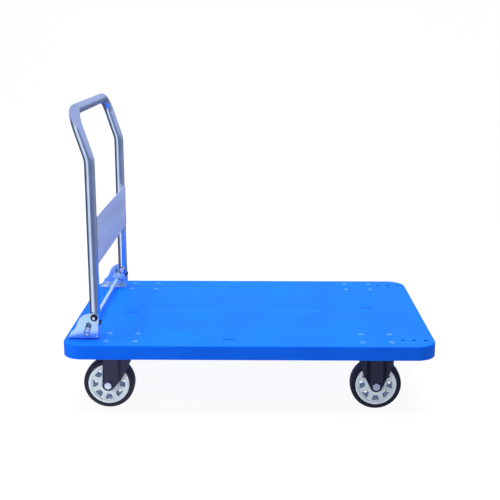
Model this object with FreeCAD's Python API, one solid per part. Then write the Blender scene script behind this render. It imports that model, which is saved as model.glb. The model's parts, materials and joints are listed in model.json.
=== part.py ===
import FreeCAD, Part
import math
import os

# Folding platform cart: a ribbed plastic deck on two swivel casters at the handle end and two
# rigid casters at the free end, with a bent tube handle that folds down over the deck.
# Frame: +X from the handle end to the free end, +Y to the left of a person pushing, +Z up.
# The origin is on the floor under the middle of the deck. All sizes are millimetres.
# A cutting tool runs 1 mm past what it cuts.

os.makedirs("parts", exist_ok=True)

V = FreeCAD.Vector

# ---------------------------------------------------------------- driving sizes

# deck moulding
DECK_LENGTH = 900.0
DECK_WIDTH = 600.0
DECK_SKIRT = 35.2
DECK_WALL = 4.0
DECK_CORNER = 50.0
DECK_TOP_ROUND = 3.5
DECK_FOOT_ROUND = 1.5
RIB_WALL = 3.0
RIB_PITCH_X = 80.0
RIB_PITCH_Y = 70.0
RIB_LIFT = 5.0
PAD_DEPTH = 16.6
PAD_MARGIN = 8.0
PLUG_FLANGE_R = 17.0
PLUG_STEM_R = 14.6
PLUG_FLANGE = 3.2
PLUG_LENGTH = 9.0
PLUG_WALL = 1.6
PLUG_RISE = 1.2
PLUG_CLEAR = 0.2
SIDE_PLUG_X = -50.0
SIDE_PLUG_INSET_Y = 66.0
REAR_PLUG_INSET_X = 135.0
REAR_PLUG_Y = -18.0
FRONT_PLUG_INSET_X = 138.0
FRONT_PLUG_Y = 37.0
SPARE_HOLE_R = 4.5
SPARE_HOLE_INSET_X = 50.0
SPARE_HOLE_INSET_Y = 50.0
SPARE_HOLE_PITCH = 27.0
BOSS_WALL = 5.0
BOSS_DEPTH = 9.0

# wheels
WHEEL_DIAMETER = 125.0
WHEEL_WIDTH = 36.0
TYRE_DEPTH = 12.5
TYRE_SHOULDER = 7.0
RIM_WALL = 6.0
RIM_DISH = 1.5
DISH_SLOPE = 1.0
TYRE_INSET = 0.5
HUB_R = 21.0
POCKET_COUNT = 8
POCKET_INNER_R = 26.5
POCKET_OUTER_R = 41.0
POCKET_SPOKE = 11.0
POCKET_ROUND = 2.0
BEARING_R = 15.0
BEARING_LENGTH = 10.0
BEARING_LIP = 2.0
SHIELD_DEPTH = 0.6

# casters
CASTER_INSET_X = 140.0
CASTER_INSET_Y = 64.0
SWIVEL_TRAIL = 34.0
WHEEL_TOP_GAP = 14.5
FORK_SHEET = 2.5
CROWN_SHEET = 3.5
PLATE_SHEET = 3.5
RACE_HEIGHT = 9.5
RACE_R = 25.0
RACE_HALF_WIDTH = 6.0
RACE_GAP = 2.3
BALL_R = 3.0
BALL_CLEAR = 0.15
BALL_GAP = 0.6
FORK_WHEEL_GAP = 2.0
EAR_R = 15.0
RIB_HALF_WIDTH = 15.5
RIB_FLANK = 9.0
RIGID_RIB_RAISE = 5.0
SWIVEL_RIB_RAISE = 4.5
SWIVEL_FLANK = 6.0
SWIVEL_BACK = 11.5
SWIVEL_FRONT = 60.0
SWIVEL_LIP_IN = 2.6
SWIVEL_LIP_DROP = 9.5
SWIVEL_SHOULDER_IN = 10.0
SWIVEL_SHOULDER_SHARE = 0.59
SWIVEL_TOE_X = 31.0
SWIVEL_TOE_RISE = 12.0
SWIVEL_RIB_BACK = 9.0
SWIVEL_RIB_EXTRA = 3.0
CROWN_R = 38.0
PLATE_CORNER = 10.0
RIGID_TOP_HALF = 42.5
RIGID_WAIST_IN = 1.5
RIGID_WAIST_SHARE = 0.72
RIGID_KNEE_IN = 9.5
RIGID_KNEE_SHARE = 0.42
KING_PIN_R = 6.0
KING_HEAD_R = 11.0
KING_HEAD = 4.0
AXLE_R = 5.0
AXLE_HEAD = 6.4
AXLE_FLATS = 16.0
AXLE_NUT = 9.0
AXLE_SPACER_WALL = 2.0
AXLE_COLLAR_WALL = 2.0
CASTER_BOLT_R = 4.0
CASTER_BOLT_SPAN_X = 70.0
SPANNER_ROOM = 1.0
PLATE_EDGE_X = 17.5
PLATE_EDGE_Y = 12.5
CASTER_HEAD_R = 7.5
CASTER_HEAD = 2.2
NECK_DEPTH = 3.5
NECK_PLAY = 0.15

# handle and its hinge
TUBE_DIAMETER = 25.0
TUBE_WALL = 1.5
UPRIGHT_INSET_X = 75.3
UPRIGHT_INSET_Y = 67.0
PIVOT_HEIGHT = 53.6
BEND_HEIGHT = 435.0
GRIP_HEIGHT = 549.0
GRIP_LEAN = 36.3
BEND_RADIUS = 70.0
GRIP_CORNER_RADIUS = 45.0
CROSS_PLATE_LOW = 185.0
CROSS_PLATE_HIGH = 300.0
CROSS_PLATE_SHEET = 1.5
CROSS_PLATE_OVERLAP = 3.0
BRACKET_SHEET = 2.5
BRACKET_BEND = 4.0
BRACKET_HEEL = 66.3
BRACKET_TOE = 11.7
BRACKET_STEP = 37.7
BRACKET_EAR_R = 10.4
BRACKET_CREST_BACK = 15.0
BRACKET_CREST_DROP = 0.8
BRACKET_BACK_CURVE = ((56.5, 19.0), (45.0, 31.0), (39.5, 44.0), (29.5, 57.5))
BRACKET_BOLT_R = 4.0
BRACKET_BOLT_BACKS = (52.0, 8.5)
RELIEF_R = 2.2
RELIEF_INSET = 6.5
RELIEF_HEIGHT = 6.0
PIVOT_R = 4.0
BUSH_R = 6.0
BUSH_FLANGE_R = 9.0
BUSH_FLANGE = 1.6
TONGUE_SHEET = 5.0
TONGUE_TOP = 40.0
TONGUE_HOOK = 7.0
TONGUE_HOOK_ANGLE = 20.0
TONGUE_NECK_DROP = 8.0
TONGUE_STEP_DROP = 11.0
TONGUE_TOE_IN = 1.5
TONGUE_PLAY = 0.5
BUFFER_WALL = 1.5
BUFFER_GRIP = 4.0

# foot-pressed lock bar
BAR_R = 4.5
SLOT_R = 5.3
SLOT_TOP_X = -13.6
SLOT_TOP_HEIGHT = 35.4
SLOT_ANGLE = 15.6
SLOT_LENGTH = 22.7
BAR_TRAVEL = 7.5
PEG_R = 2.0
PEG_X = -24.5
PEG_HEIGHT = 51.0
PEG_COLLAR = 0.8
PEG_COLLAR_WALL = 1.2
PEG_SPARE = 4.0
SPRING_WIRE = 0.9
SPRING_COIL_R = 2.6
SPRING_PITCH = 1.6
SPRING_LEAD = 1.2
CLIP_R = 8.0
CLIP_SHEET = 1.0
CLIP_MOUTH = 6.0

# clearances
RUNNING = 0.05
PLAY = 0.3
SEAT = 0.25

# fasteners
M8_FLATS = 13.0
M8_NUT = 6.0
M8_WASHER = 1.2
M8_WASHER_R = 7.2
M8_HEAD = 5.3
BOLT_END = 1.3

# ---------------------------------------------------------------- dependent sizes

HALF_LENGTH = DECK_LENGTH / 2
HALF_WIDTH = DECK_WIDTH / 2
WHEEL_R = WHEEL_DIAMETER / 2
RIM_R = WHEEL_R - TYRE_DEPTH
AXLE_Z = WHEEL_R
CROWN_BOTTOM = WHEEL_DIAMETER + WHEEL_TOP_GAP
CROWN_TOP = CROWN_BOTTOM + CROWN_SHEET
PLATE_BOTTOM = CROWN_TOP + RACE_HEIGHT
PLATE_TOP = PLATE_BOTTOM + PLATE_SHEET
DECK_UNDER = PLATE_TOP + PAD_DEPTH
DECK_TOP = DECK_UNDER + DECK_WALL
SKIRT_FOOT = DECK_TOP - DECK_SKIRT
RIB_FOOT = SKIRT_FOOT + RIB_LIFT
PLUG_SEAT_Z = DECK_TOP + PLUG_RISE - PLUG_FLANGE

CASTER_Y = HALF_WIDTH - CASTER_INSET_Y
SWIVEL_X = -(HALF_LENGTH - CASTER_INSET_X)
RIGID_X = HALF_LENGTH - CASTER_INSET_X
SWIVEL_AXLE_X = SWIVEL_X - SWIVEL_TRAIL

LEG_INNER = WHEEL_WIDTH / 2 + FORK_WHEEL_GAP
LEG_OUTER = LEG_INNER + FORK_SHEET
HUB_HALF = LEG_INNER - PLAY
SPACER_R = AXLE_R + AXLE_SPACER_WALL
CASTER_BOLT_SPAN_Y = 2 * (LEG_OUTER + M8_FLATS / 2 + SPANNER_ROOM)
PLATE_X = CASTER_BOLT_SPAN_X + 2 * PLATE_EDGE_X
PLATE_Y = CASTER_BOLT_SPAN_Y + 2 * PLATE_EDGE_Y
FORK_REACH = 2 * LEG_OUTER

TUBE_R = TUBE_DIAMETER / 2
UPRIGHT_X = -(HALF_LENGTH - UPRIGHT_INSET_X)
UPRIGHT_Y = HALF_WIDTH - UPRIGHT_INSET_Y
PIVOT_Z = DECK_TOP + PIVOT_HEIGHT
CHANNEL_HALF = TUBE_R + BUSH_FLANGE + PLAY
WALL_HALF = CHANNEL_HALF + BRACKET_SHEET
BRACKET_FRONT = UPRIGHT_X + BRACKET_TOE
BRACKET_BACK = UPRIGHT_X - BRACKET_HEEL
STEP_Z = DECK_TOP + BRACKET_STEP
BUFFER_TOP = PIVOT_Z - TUBE_R - PLAY
BUFFER_BACK = BRACKET_FRONT - BRACKET_SHEET - BUFFER_WALL
TUBE_END_R = math.hypot(BUFFER_BACK - UPRIGHT_X, PIVOT_Z - BUFFER_TOP) - TONGUE_PLAY

SLOT_DOWN = V(-math.sin(math.radians(SLOT_ANGLE)), 0, -math.cos(math.radians(SLOT_ANGLE)))
SLOT_TOP = V(UPRIGHT_X + SLOT_TOP_X, 0, DECK_TOP + SLOT_TOP_HEIGHT)
SLOT_BOTTOM = SLOT_TOP + SLOT_DOWN * SLOT_LENGTH
BAR_CENTRE = SLOT_BOTTOM - SLOT_DOWN * BAR_TRAVEL
BAR_RADIUS_OUT = math.hypot(BAR_CENTRE.x - UPRIGHT_X, BAR_CENTRE.z - PIVOT_Z)
BAR_ANGLE = math.degrees(math.atan2(UPRIGHT_X - BAR_CENTRE.x, PIVOT_Z - BAR_CENTRE.z))

BRACKET_BOLT_XS = [UPRIGHT_X - back for back in BRACKET_BOLT_BACKS]
PLUG_PLACES = (
    V(SIDE_PLUG_X, HALF_WIDTH - SIDE_PLUG_INSET_Y, 0),
    V(SIDE_PLUG_X, -(HALF_WIDTH - SIDE_PLUG_INSET_Y), 0),
    V(-(HALF_LENGTH - REAR_PLUG_INSET_X), REAR_PLUG_Y, 0),
    V(HALF_LENGTH - FRONT_PLUG_INSET_X, FRONT_PLUG_Y, 0),
)
SPARE_HOLES = [
    V(HALF_LENGTH - SPARE_HOLE_INSET_X + step * SPARE_HOLE_PITCH, side * (HALF_WIDTH - SPARE_HOLE_INSET_Y), 0)
    for side in (-1, 1)
    for step in (-1, 0, 1)
]


# ---------------------------------------------------------------- plain solids


def block(x0, x1, y0, y1, z0, z1):
    """Box between two corners."""
    return Part.makeBox(x1 - x0, y1 - y0, z1 - z0, V(x0, y0, z0))


def post(radius, z0, z1, x=0.0, y=0.0):
    """Upright cylinder."""
    return Part.makeCylinder(radius, z1 - z0, V(x, y, z0), V(0, 0, 1))


def shaft(radius, y0, y1, x, z):
    """Cylinder along Y."""
    return Part.makeCylinder(radius, y1 - y0, V(x, y0, z), V(0, 1, 0))


def ring_y(outer, inner, y0, y1, x, z):
    """Plain ring along Y."""
    return shaft(outer, y0, y1, x, z).cut(shaft(inner, y0 - 1, y1 + 1, x, z))


def plate_xz(points, y0, y1):
    """Flat plate whose outline is a list of (x, z) corners."""
    corners = [V(x, y0, z) for x, z in points]
    face = Part.Face(Part.makePolygon(corners + corners[:1]))
    return face.extrude(V(0, y1 - y0, 0))


def plate_xy(points, z0, z1):
    """Flat plate whose outline is a list of (x, y) corners."""
    corners = [V(x, y, z0) for x, y in points]
    face = Part.Face(Part.makePolygon(corners + corners[:1]))
    return face.extrude(V(0, 0, z1 - z0))


def hex_corners(flats, a, b):
    """Six corners of a hexagon about (a, b), with flats across the second axis."""
    reach = flats / math.sqrt(3)
    turns = [math.radians(60 * k) for k in range(6)]
    return [(a + reach * math.cos(t), b + reach * math.sin(t)) for t in turns]


def nut_z(flats, hole, z0, z1, x, y):
    """Hexagon nut with an upright hole."""
    return plate_xy(hex_corners(flats, x, y), z0, z1).cut(post(hole, z0 - 1, z1 + 1, x, y))


def nut_y(flats, hole, y0, y1, x, z):
    """Hexagon nut with its hole along Y."""
    return plate_xz(hex_corners(flats, x, z), y0, y1).cut(shaft(hole, y0 - 1, y1 + 1, x, z))


def dome(radius, height, z0, x, y):
    """Domed bolt head standing on z0: the cap of a ball that is cut by a plane."""
    ball = (radius ** 2 + height ** 2) / (2 * height)
    sphere = Part.makeSphere(ball, V(x, y, z0 + height - ball))
    return sphere.common(post(radius + 1, z0, z0 + height + 1, x, y))


def rounded_slab(length, width, corner, z0, z1):
    """Upright slab with round corners, centred on the Z axis."""
    a = length / 2
    b = width / 2
    slab = block(-a, a, -b, b, z0, z1)
    uprights = [e for e in slab.Edges if abs(e.Vertexes[0].Z - e.Vertexes[1].Z) > (z1 - z0) / 2]
    return slab.makeFillet(corner, uprights)


def spun(points, x, y):
    """Solid of revolution about the line along Y through x and the axle height.

    points are (distance along Y from y, radius)."""
    corners = [V(x, y + along, AXLE_Z + radius) for along, radius in points]
    face = Part.Face(Part.makePolygon(corners + corners[:1]))
    return face.revolve(V(x, y, AXLE_Z), V(0, 1, 0), 360)


def mirrored(shape):
    """The same piece on the other side of the cart."""
    return shape.mirror(V(0, 0, 0), V(0, 1, 0))


def pair(shape):
    """A piece on the left side together with its twin on the right side."""
    return [shape, mirrored(shape)]


def joined(shapes):
    """One solid from several that meet."""
    return shapes[0].multiFuse(shapes[1:]).removeSplitter()


# ---------------------------------------------------------------- deck


def edges_at(shape, z):
    """Edges that lie wholly in the level plane z."""
    return [e for e in shape.Edges if abs(e.BoundBox.ZMin - z) < 0.01 and abs(e.BoundBox.ZMax - z) < 0.01]


def caster_bolt_places(centre_x):
    """Four bolt positions of one left-hand caster."""
    return [
        (centre_x + sx * CASTER_BOLT_SPAN_X / 2, CASTER_Y + sy * CASTER_BOLT_SPAN_Y / 2)
        for sx in (-1, 1)
        for sy in (-1, 1)
    ]


def deck_ribs():
    """Grid of ribs under the top, longitudinal and crosswise."""
    ribs = []
    top = DECK_UNDER + 1
    count_y = int((HALF_WIDTH - DECK_WALL) // RIB_PITCH_Y)
    for k in range(-count_y, count_y + 1):
        y = k * RIB_PITCH_Y
        ribs.append(block(-HALF_LENGTH, HALF_LENGTH, y - RIB_WALL / 2, y + RIB_WALL / 2, RIB_FOOT, top))
    count_x = int((HALF_LENGTH - DECK_WALL) // RIB_PITCH_X)
    for k in range(-count_x, count_x + 1):
        x = k * RIB_PITCH_X
        ribs.append(block(x - RIB_WALL / 2, x + RIB_WALL / 2, -HALF_WIDTH, HALF_WIDTH, RIB_FOOT, top))
    return ribs


def deck_bosses():
    """Solid seats under the casters, the hinge brackets, the plugs and the spare holes."""
    top = DECK_UNDER + 1
    seats = []
    for x in (SWIVEL_X, RIGID_X):
        seats += pair(block(
            x - PLATE_X / 2 - PAD_MARGIN, x + PLATE_X / 2 + PAD_MARGIN,
            CASTER_Y - PLATE_Y / 2 - PAD_MARGIN, CASTER_Y + PLATE_Y / 2 + PAD_MARGIN,
            PLATE_TOP, top,
        ))
    for x in BRACKET_BOLT_XS:
        seats += pair(post(BRACKET_BOLT_R + 2 * BOSS_WALL, DECK_UNDER - BOSS_DEPTH, top, x, UPRIGHT_Y))
    for place in PLUG_PLACES:
        seats.append(post(PLUG_STEM_R + BOSS_WALL, DECK_TOP - PLUG_LENGTH, top, place.x, place.y))
    for place in SPARE_HOLES:
        seats.append(post(SPARE_HOLE_R + BOSS_WALL, DECK_UNDER - BOSS_DEPTH, top, place.x, place.y))
    return seats


def deck_cuts():
    """Everything that is open in the deck: caster pockets, bolt holes, plug seats, nut room."""
    cuts = []
    above = DECK_TOP + 1
    below = SKIRT_FOOT - 1
    neck = CASTER_BOLT_R + NECK_PLAY
    for x in (SWIVEL_X, RIGID_X):
        cuts += pair(block(
            x - PLATE_X / 2 - PAD_MARGIN, x + PLATE_X / 2 + PAD_MARGIN,
            CASTER_Y - PLATE_Y / 2 - PAD_MARGIN, CASTER_Y + PLATE_Y / 2 + PAD_MARGIN,
            below, PLATE_TOP,
        ))
        for bx, by in caster_bolt_places(x):
            hole = post(CASTER_BOLT_R + SEAT, PLATE_TOP - 1, above, bx, by)
            square = block(bx - neck, bx + neck, by - neck, by + neck, DECK_TOP - DECK_WALL, above)
            cuts += pair(hole) + pair(square)
    for x in BRACKET_BOLT_XS:
        cuts += pair(post(BRACKET_BOLT_R + SEAT, below, above, x, UPRIGHT_Y))
        cuts += pair(post(
            BRACKET_BOLT_R + 2 * BOSS_WALL, below, DECK_UNDER - BOSS_DEPTH, x, UPRIGHT_Y))
    for place in PLUG_PLACES:
        cuts.append(post(PLUG_STEM_R + PLUG_CLEAR, below, above, place.x, place.y))
        cuts.append(post(
            PLUG_FLANGE_R + PLUG_CLEAR, PLUG_SEAT_Z, above, place.x, place.y))
    for place in SPARE_HOLES:
        cuts.append(post(SPARE_HOLE_R, below, above, place.x, place.y))
    return cuts


def deck():
    """Ribbed deck moulding: a tray turned upside down with bosses and ribs inside."""
    tray = rounded_slab(DECK_LENGTH, DECK_WIDTH, DECK_CORNER, SKIRT_FOOT, DECK_TOP)
    tray = tray.makeFillet(DECK_TOP_ROUND, edges_at(tray, DECK_TOP))
    tray = tray.makeFillet(DECK_FOOT_ROUND, edges_at(tray, SKIRT_FOOT))
    hollow = rounded_slab(
        DECK_LENGTH - 2 * DECK_WALL, DECK_WIDTH - 2 * DECK_WALL, DECK_CORNER - DECK_WALL,
        SKIRT_FOOT - 1, DECK_UNDER,
    )
    inside = rounded_slab(
        DECK_LENGTH - DECK_WALL, DECK_WIDTH - DECK_WALL, DECK_CORNER - DECK_WALL / 2,
        RIB_FOOT, DECK_UNDER + 1,
    )
    ribs = deck_ribs()
    lattice = ribs[0].multiFuse(ribs[1:] + deck_bosses()).common(inside)
    return tray.cut(hollow).fuse(lattice).cut(deck_cuts()).removeSplitter()


def deck_plug(place):
    """Push-in cap: a flange that stands a little proud of the deck, on a hollow stem."""
    top = DECK_TOP + PLUG_RISE
    flange = post(PLUG_FLANGE_R, PLUG_SEAT_Z, top, place.x, place.y)
    foot = DECK_TOP - PLUG_LENGTH
    stem = post(PLUG_STEM_R, foot, top - PLUG_FLANGE / 2, place.x, place.y)
    bore = post(PLUG_STEM_R - PLUG_WALL, foot - 1, PLUG_SEAT_Z, place.x, place.y)
    return flange.fuse(stem).cut(bore).removeSplitter()


# ---------------------------------------------------------------- hinge brackets


def bracket_outline():
    """Side wall: a slanted heel, a shoulder curve, a level top and a round ear at the pivot."""
    heel = V(BRACKET_BACK, 0, DECK_TOP)
    rise = [V(UPRIGHT_X - back, 0, DECK_TOP + height) for back, height in BRACKET_BACK_CURVE]
    crest = V(UPRIGHT_X - BRACKET_CREST_BACK, 0, PIVOT_Z + BRACKET_EAR_R - BRACKET_CREST_DROP)
    ear_top = V(UPRIGHT_X, 0, PIVOT_Z + BRACKET_EAR_R)
    reach = BRACKET_EAR_R * math.sqrt(0.5)
    ear_mid = V(UPRIGHT_X + reach, 0, PIVOT_Z + reach)
    ear_side = V(UPRIGHT_X + BRACKET_EAR_R, 0, PIVOT_Z)
    notch = V(UPRIGHT_X + BRACKET_EAR_R, 0, STEP_Z)
    toe = V(BRACKET_FRONT, 0, STEP_Z)
    foot = V(BRACKET_FRONT, 0, DECK_TOP)
    curve = Part.BSplineCurve()
    curve.interpolate(rise + [crest, ear_top])
    edges = [
        Part.LineSegment(heel, rise[0]).toShape(),
        curve.toShape(),
        Part.Arc(ear_top, ear_mid, ear_side).toShape(),
        Part.LineSegment(ear_side, notch).toShape(),
        Part.LineSegment(notch, toe).toShape(),
        Part.LineSegment(toe, foot).toShape(),
        Part.LineSegment(foot, heel).toShape(),
    ]
    return Part.Face(Part.Wire(edges))


def slot_cutter(radius):
    """Slanted slot for the lock bar through the side wall."""
    low = UPRIGHT_Y + CHANNEL_HALF - 1
    high = UPRIGHT_Y + WALL_HALF + 1
    across = V(math.cos(math.radians(SLOT_ANGLE)), 0, -math.sin(math.radians(SLOT_ANGLE))) * radius
    corners = [SLOT_TOP + across, SLOT_BOTTOM + across, SLOT_BOTTOM - across, SLOT_TOP - across]
    middle = plate_xz([(c.x, c.z) for c in corners], low, high)
    ends = [shaft(radius, low, high, c.x, c.z) for c in (SLOT_TOP, SLOT_BOTTOM)]
    return middle.multiFuse(ends)


def hinge_bracket():
    """Left bracket: one folded sheet with an outer side wall, a front wall and a base."""
    low = UPRIGHT_Y - WALL_HALF
    high = UPRIGHT_Y + WALL_HALF
    top = PIVOT_Z + BRACKET_EAR_R + 1
    profile = bracket_outline().extrude(V(0, high - low, 0))
    profile.translate(V(0, low, 0))
    tub = block(BRACKET_BACK - 1, BRACKET_FRONT, low, high, DECK_TOP, STEP_Z)
    outer = [e for e in tub.Edges if abs(e.BoundBox.YMin - high) < 0.01]
    long_fold = [e for e in outer if abs(e.BoundBox.ZMax - DECK_TOP) < 0.01]
    front_fold = [e for e in outer if abs(e.BoundBox.XMin - BRACKET_FRONT) < 0.01 and e.BoundBox.ZLength > 1]
    tub = tub.makeFillet(BRACKET_BEND, long_fold + front_fold)
    room = block(
        BRACKET_BACK - 2, BRACKET_FRONT - BRACKET_SHEET,
        low - 1, UPRIGHT_Y + CHANNEL_HALF, DECK_TOP + BRACKET_SHEET, top,
    )
    ear = block(BRACKET_BACK - 1, BRACKET_FRONT, UPRIGHT_Y + CHANNEL_HALF, high, STEP_Z, top)
    sheet = tub.cut(room).fuse(ear).common(profile)
    holes = [
        slot_cutter(SLOT_R),
        shaft(PIVOT_R + RUNNING, UPRIGHT_Y, high + 1, UPRIGHT_X, PIVOT_Z),
        shaft(RELIEF_R, UPRIGHT_Y, high + 1, BRACKET_FRONT - RELIEF_INSET, DECK_TOP + RELIEF_HEIGHT),
    ]
    above = DECK_TOP + BRACKET_SHEET + 1
    for x in BRACKET_BOLT_XS:
        holes.append(post(BRACKET_BOLT_R + SEAT, DECK_TOP - 1, above, x, UPRIGHT_Y))
    return sheet.cut(holes).removeSplitter()


def bracket_bolt(x):
    """Low-headed bolt that holds a bracket down, with its end under the deck."""
    seat = DECK_TOP + BRACKET_SHEET
    end = DECK_UNDER - BOSS_DEPTH - M8_WASHER - M8_NUT - BOLT_END
    head = dome(CASTER_HEAD_R - 1.0, CASTER_HEAD, seat, x, UPRIGHT_Y)
    return head.fuse(post(BRACKET_BOLT_R, end, seat + 0.5, x, UPRIGHT_Y)).removeSplitter()


def washer_z(z0, x, y):
    """Flat washer under a nut; z0 is the face that it bears on."""
    return post(M8_WASHER_R, z0 - M8_WASHER, z0, x, y).cut(
        post(CASTER_BOLT_R, z0 - M8_WASHER - 1, z0 + 1, x, y))


def fold_buffer():
    """Rubber strip pushed over the front wall, where the folded handle comes to rest."""
    low = UPRIGHT_Y - CHANNEL_HALF + PLAY
    high = UPRIGHT_Y + CHANNEL_HALF - PLAY
    strip = block(BUFFER_BACK, BRACKET_FRONT + BUFFER_WALL, low, high, STEP_Z - BUFFER_GRIP, BUFFER_TOP)
    return strip.cut(block(BRACKET_FRONT - BRACKET_SHEET, BRACKET_FRONT, low - 1, high + 1,
                           STEP_Z - BUFFER_GRIP - 1, STEP_Z))


# ---------------------------------------------------------------- pivot


def pivot_bolt():
    """Bolt through an upright and the bracket's side wall, with its head on the inner side."""
    head_face = UPRIGHT_Y - CHANNEL_HALF - M8_WASHER
    end = UPRIGHT_Y + WALL_HALF + M8_WASHER + M8_NUT + BOLT_END
    head = plate_xz(hex_corners(M8_FLATS, UPRIGHT_X, PIVOT_Z), head_face - M8_HEAD, head_face)
    return head.fuse(shaft(PIVOT_R, head_face - 1, end, UPRIGHT_X, PIVOT_Z)).removeSplitter()


def pivot_washers():
    """One washer under the bolt head and one under the nut."""
    inner = UPRIGHT_Y - CHANNEL_HALF
    outer = UPRIGHT_Y + WALL_HALF
    return [
        ring_y(BUSH_FLANGE_R, PIVOT_R, inner - M8_WASHER, inner, UPRIGHT_X, PIVOT_Z),
        ring_y(BUSH_FLANGE_R, PIVOT_R, outer, outer + M8_WASHER, UPRIGHT_X, PIVOT_Z),
    ]


def pivot_nut():
    """Lock nut on the outer end of a pivot bolt."""
    face = UPRIGHT_Y + WALL_HALF + M8_WASHER
    return nut_y(M8_FLATS, PIVOT_R, face, face + M8_NUT, UPRIGHT_X, PIVOT_Z)


def pivot_bushes():
    """Two flanged half bushes in one upright, which turn on the pivot bolt."""
    bushes = []
    hole = shaft(PIVOT_R + RUNNING, UPRIGHT_Y - TUBE_DIAMETER, UPRIGHT_Y + TUBE_DIAMETER, UPRIGHT_X, PIVOT_Z)
    for side in (-1, 1):
        near = UPRIGHT_Y + side * SEAT
        far = UPRIGHT_Y + side * (TUBE_R + BUSH_FLANGE)
        flange = UPRIGHT_Y + side * TUBE_R
        body = shaft(BUSH_R, min(near, far), max(near, far), UPRIGHT_X, PIVOT_Z)
        lip = shaft(BUSH_FLANGE_R, min(flange, far), max(flange, far), UPRIGHT_X, PIVOT_Z)
        bushes.append(body.fuse(lip).cut(hole).removeSplitter())
    return bushes


# ---------------------------------------------------------------- handle


def bend(before, corner, after, radius):
    """Start, middle and end of the arc that rounds a corner of the centre line."""
    back = (before - corner).normalize()
    ahead = (after - corner).normalize()
    half = back.getAngle(ahead) / 2
    start = corner + back * (radius / math.tan(half))
    end = corner + ahead * (radius / math.tan(half))
    inward = (back + ahead).normalize()
    middle = corner + inward * (radius / math.sin(half) - radius)
    return start, middle, end


def handle_tube():
    """Round tube bent into a U whose grip leans back over the handle end."""
    low = V(UPRIGHT_X, UPRIGHT_Y, PIVOT_Z - TUBE_END_R)
    elbow = V(UPRIGHT_X, UPRIGHT_Y, DECK_TOP + BEND_HEIGHT)
    corner = V(UPRIGHT_X - GRIP_LEAN, UPRIGHT_Y, DECK_TOP + GRIP_HEIGHT)
    middle = V(corner.x, 0, corner.z)
    elbow_arc = bend(low, elbow, corner, BEND_RADIUS)
    corner_arc = bend(elbow, corner, middle, GRIP_CORNER_RADIUS)
    centre_line = Part.Wire([
        Part.LineSegment(low, elbow_arc[0]).toShape(),
        Part.Arc(*elbow_arc).toShape(),
        Part.LineSegment(elbow_arc[2], corner_arc[0]).toShape(),
        Part.Arc(*corner_arc).toShape(),
        Part.LineSegment(corner_arc[2], middle).toShape(),
    ])
    skin = centre_line.makePipeShell([Part.Wire(Part.makeCircle(TUBE_R, low, V(0, 0, 1)))], True, False)
    bore_r = TUBE_R - TUBE_WALL
    bore = centre_line.makePipeShell([Part.Wire(Part.makeCircle(bore_r, low, V(0, 0, 1)))], True, False)
    half = skin.cut(bore)
    whole = half.fuse(mirrored(half)).removeSplitter()
    area = math.pi * (TUBE_R ** 2 - bore_r ** 2)
    print("handle tube volume / (section x length):", whole.Volume / (2 * area * centre_line.Length))
    reach = UPRIGHT_Y + TUBE_R + 1
    lower = block(UPRIGHT_X - TUBE_R - 1, UPRIGHT_X + TUBE_R + 1, -reach, reach,
                  PIVOT_Z - TUBE_END_R - 1, PIVOT_Z)
    rounding = lower.cut(shaft(TUBE_END_R, -reach - 1, reach + 1, UPRIGHT_X, PIVOT_Z))
    bores = shaft(BUSH_R, -reach, reach, UPRIGHT_X, PIVOT_Z)
    return whole.cut([rounding, bores])


def cross_plate():
    """Flat steel sheet welded across the front of the two uprights."""
    front = UPRIGHT_X + TUBE_R
    reach = UPRIGHT_Y + CROSS_PLATE_OVERLAP
    return block(front, front + CROSS_PLATE_SHEET, -reach, reach,
                 DECK_TOP + CROSS_PLATE_LOW, DECK_TOP + CROSS_PLATE_HIGH)


def polar(radius, angle):
    """Point about the pivot; the angle is measured from straight down towards the heel."""
    turn = math.radians(angle)
    return V(UPRIGHT_X - radius * math.sin(turn), 0, PIVOT_Z - radius * math.cos(turn))


def lock_tongue():
    """Plate in the lower end of an upright; its hook stands behind the lock bar."""
    inner = BAR_RADIUS_OUT - BAR_R - TONGUE_PLAY
    outer = inner + TONGUE_HOOK
    flank = BAR_ANGLE + math.degrees(math.asin((BAR_R + PLAY) / BAR_RADIUS_OUT))
    tip = flank + TONGUE_HOOK_ANGLE
    half = math.sqrt((TUBE_R - TUBE_WALL) ** 2 - (TONGUE_SHEET / 2) ** 2) - SEAT
    toe = BUFFER_BACK - UPRIGHT_X - TONGUE_TOE_IN
    toe_angle = -math.degrees(math.asin(toe / inner))
    neck = V(UPRIGHT_X - half, 0, PIVOT_Z - TONGUE_NECK_DROP)
    top_back = V(UPRIGHT_X - half, 0, PIVOT_Z + TONGUE_TOP)
    top_front = V(UPRIGHT_X + half, 0, PIVOT_Z + TONGUE_TOP)
    step_out = V(UPRIGHT_X + half, 0, PIVOT_Z - TONGUE_NECK_DROP)
    step_in = V(UPRIGHT_X + toe, 0, PIVOT_Z - TONGUE_STEP_DROP)
    low_front = polar(inner, toe_angle)
    edges = [
        Part.LineSegment(neck, top_back).toShape(),
        Part.LineSegment(top_back, top_front).toShape(),
        Part.LineSegment(top_front, step_out).toShape(),
        Part.LineSegment(step_out, step_in).toShape(),
        Part.LineSegment(step_in, low_front).toShape(),
        Part.Arc(low_front, polar(inner, (toe_angle + flank) / 2), polar(inner, flank)).toShape(),
        Part.LineSegment(polar(inner, flank), polar(outer, flank)).toShape(),
        Part.Arc(polar(outer, flank), polar(outer, (flank + tip) / 2), polar(outer, tip)).toShape(),
        Part.LineSegment(polar(outer, tip), neck).toShape(),
    ]
    plate = Part.Face(Part.Wire(edges)).extrude(V(0, TONGUE_SHEET, 0))
    plate.translate(V(0, UPRIGHT_Y - TONGUE_SHEET / 2, 0))
    return plate.cut(shaft(BUSH_R, UPRIGHT_Y - TUBE_R, UPRIGHT_Y + TUBE_R, UPRIGHT_X, PIVOT_Z))


# ---------------------------------------------------------------- lock bar


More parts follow.
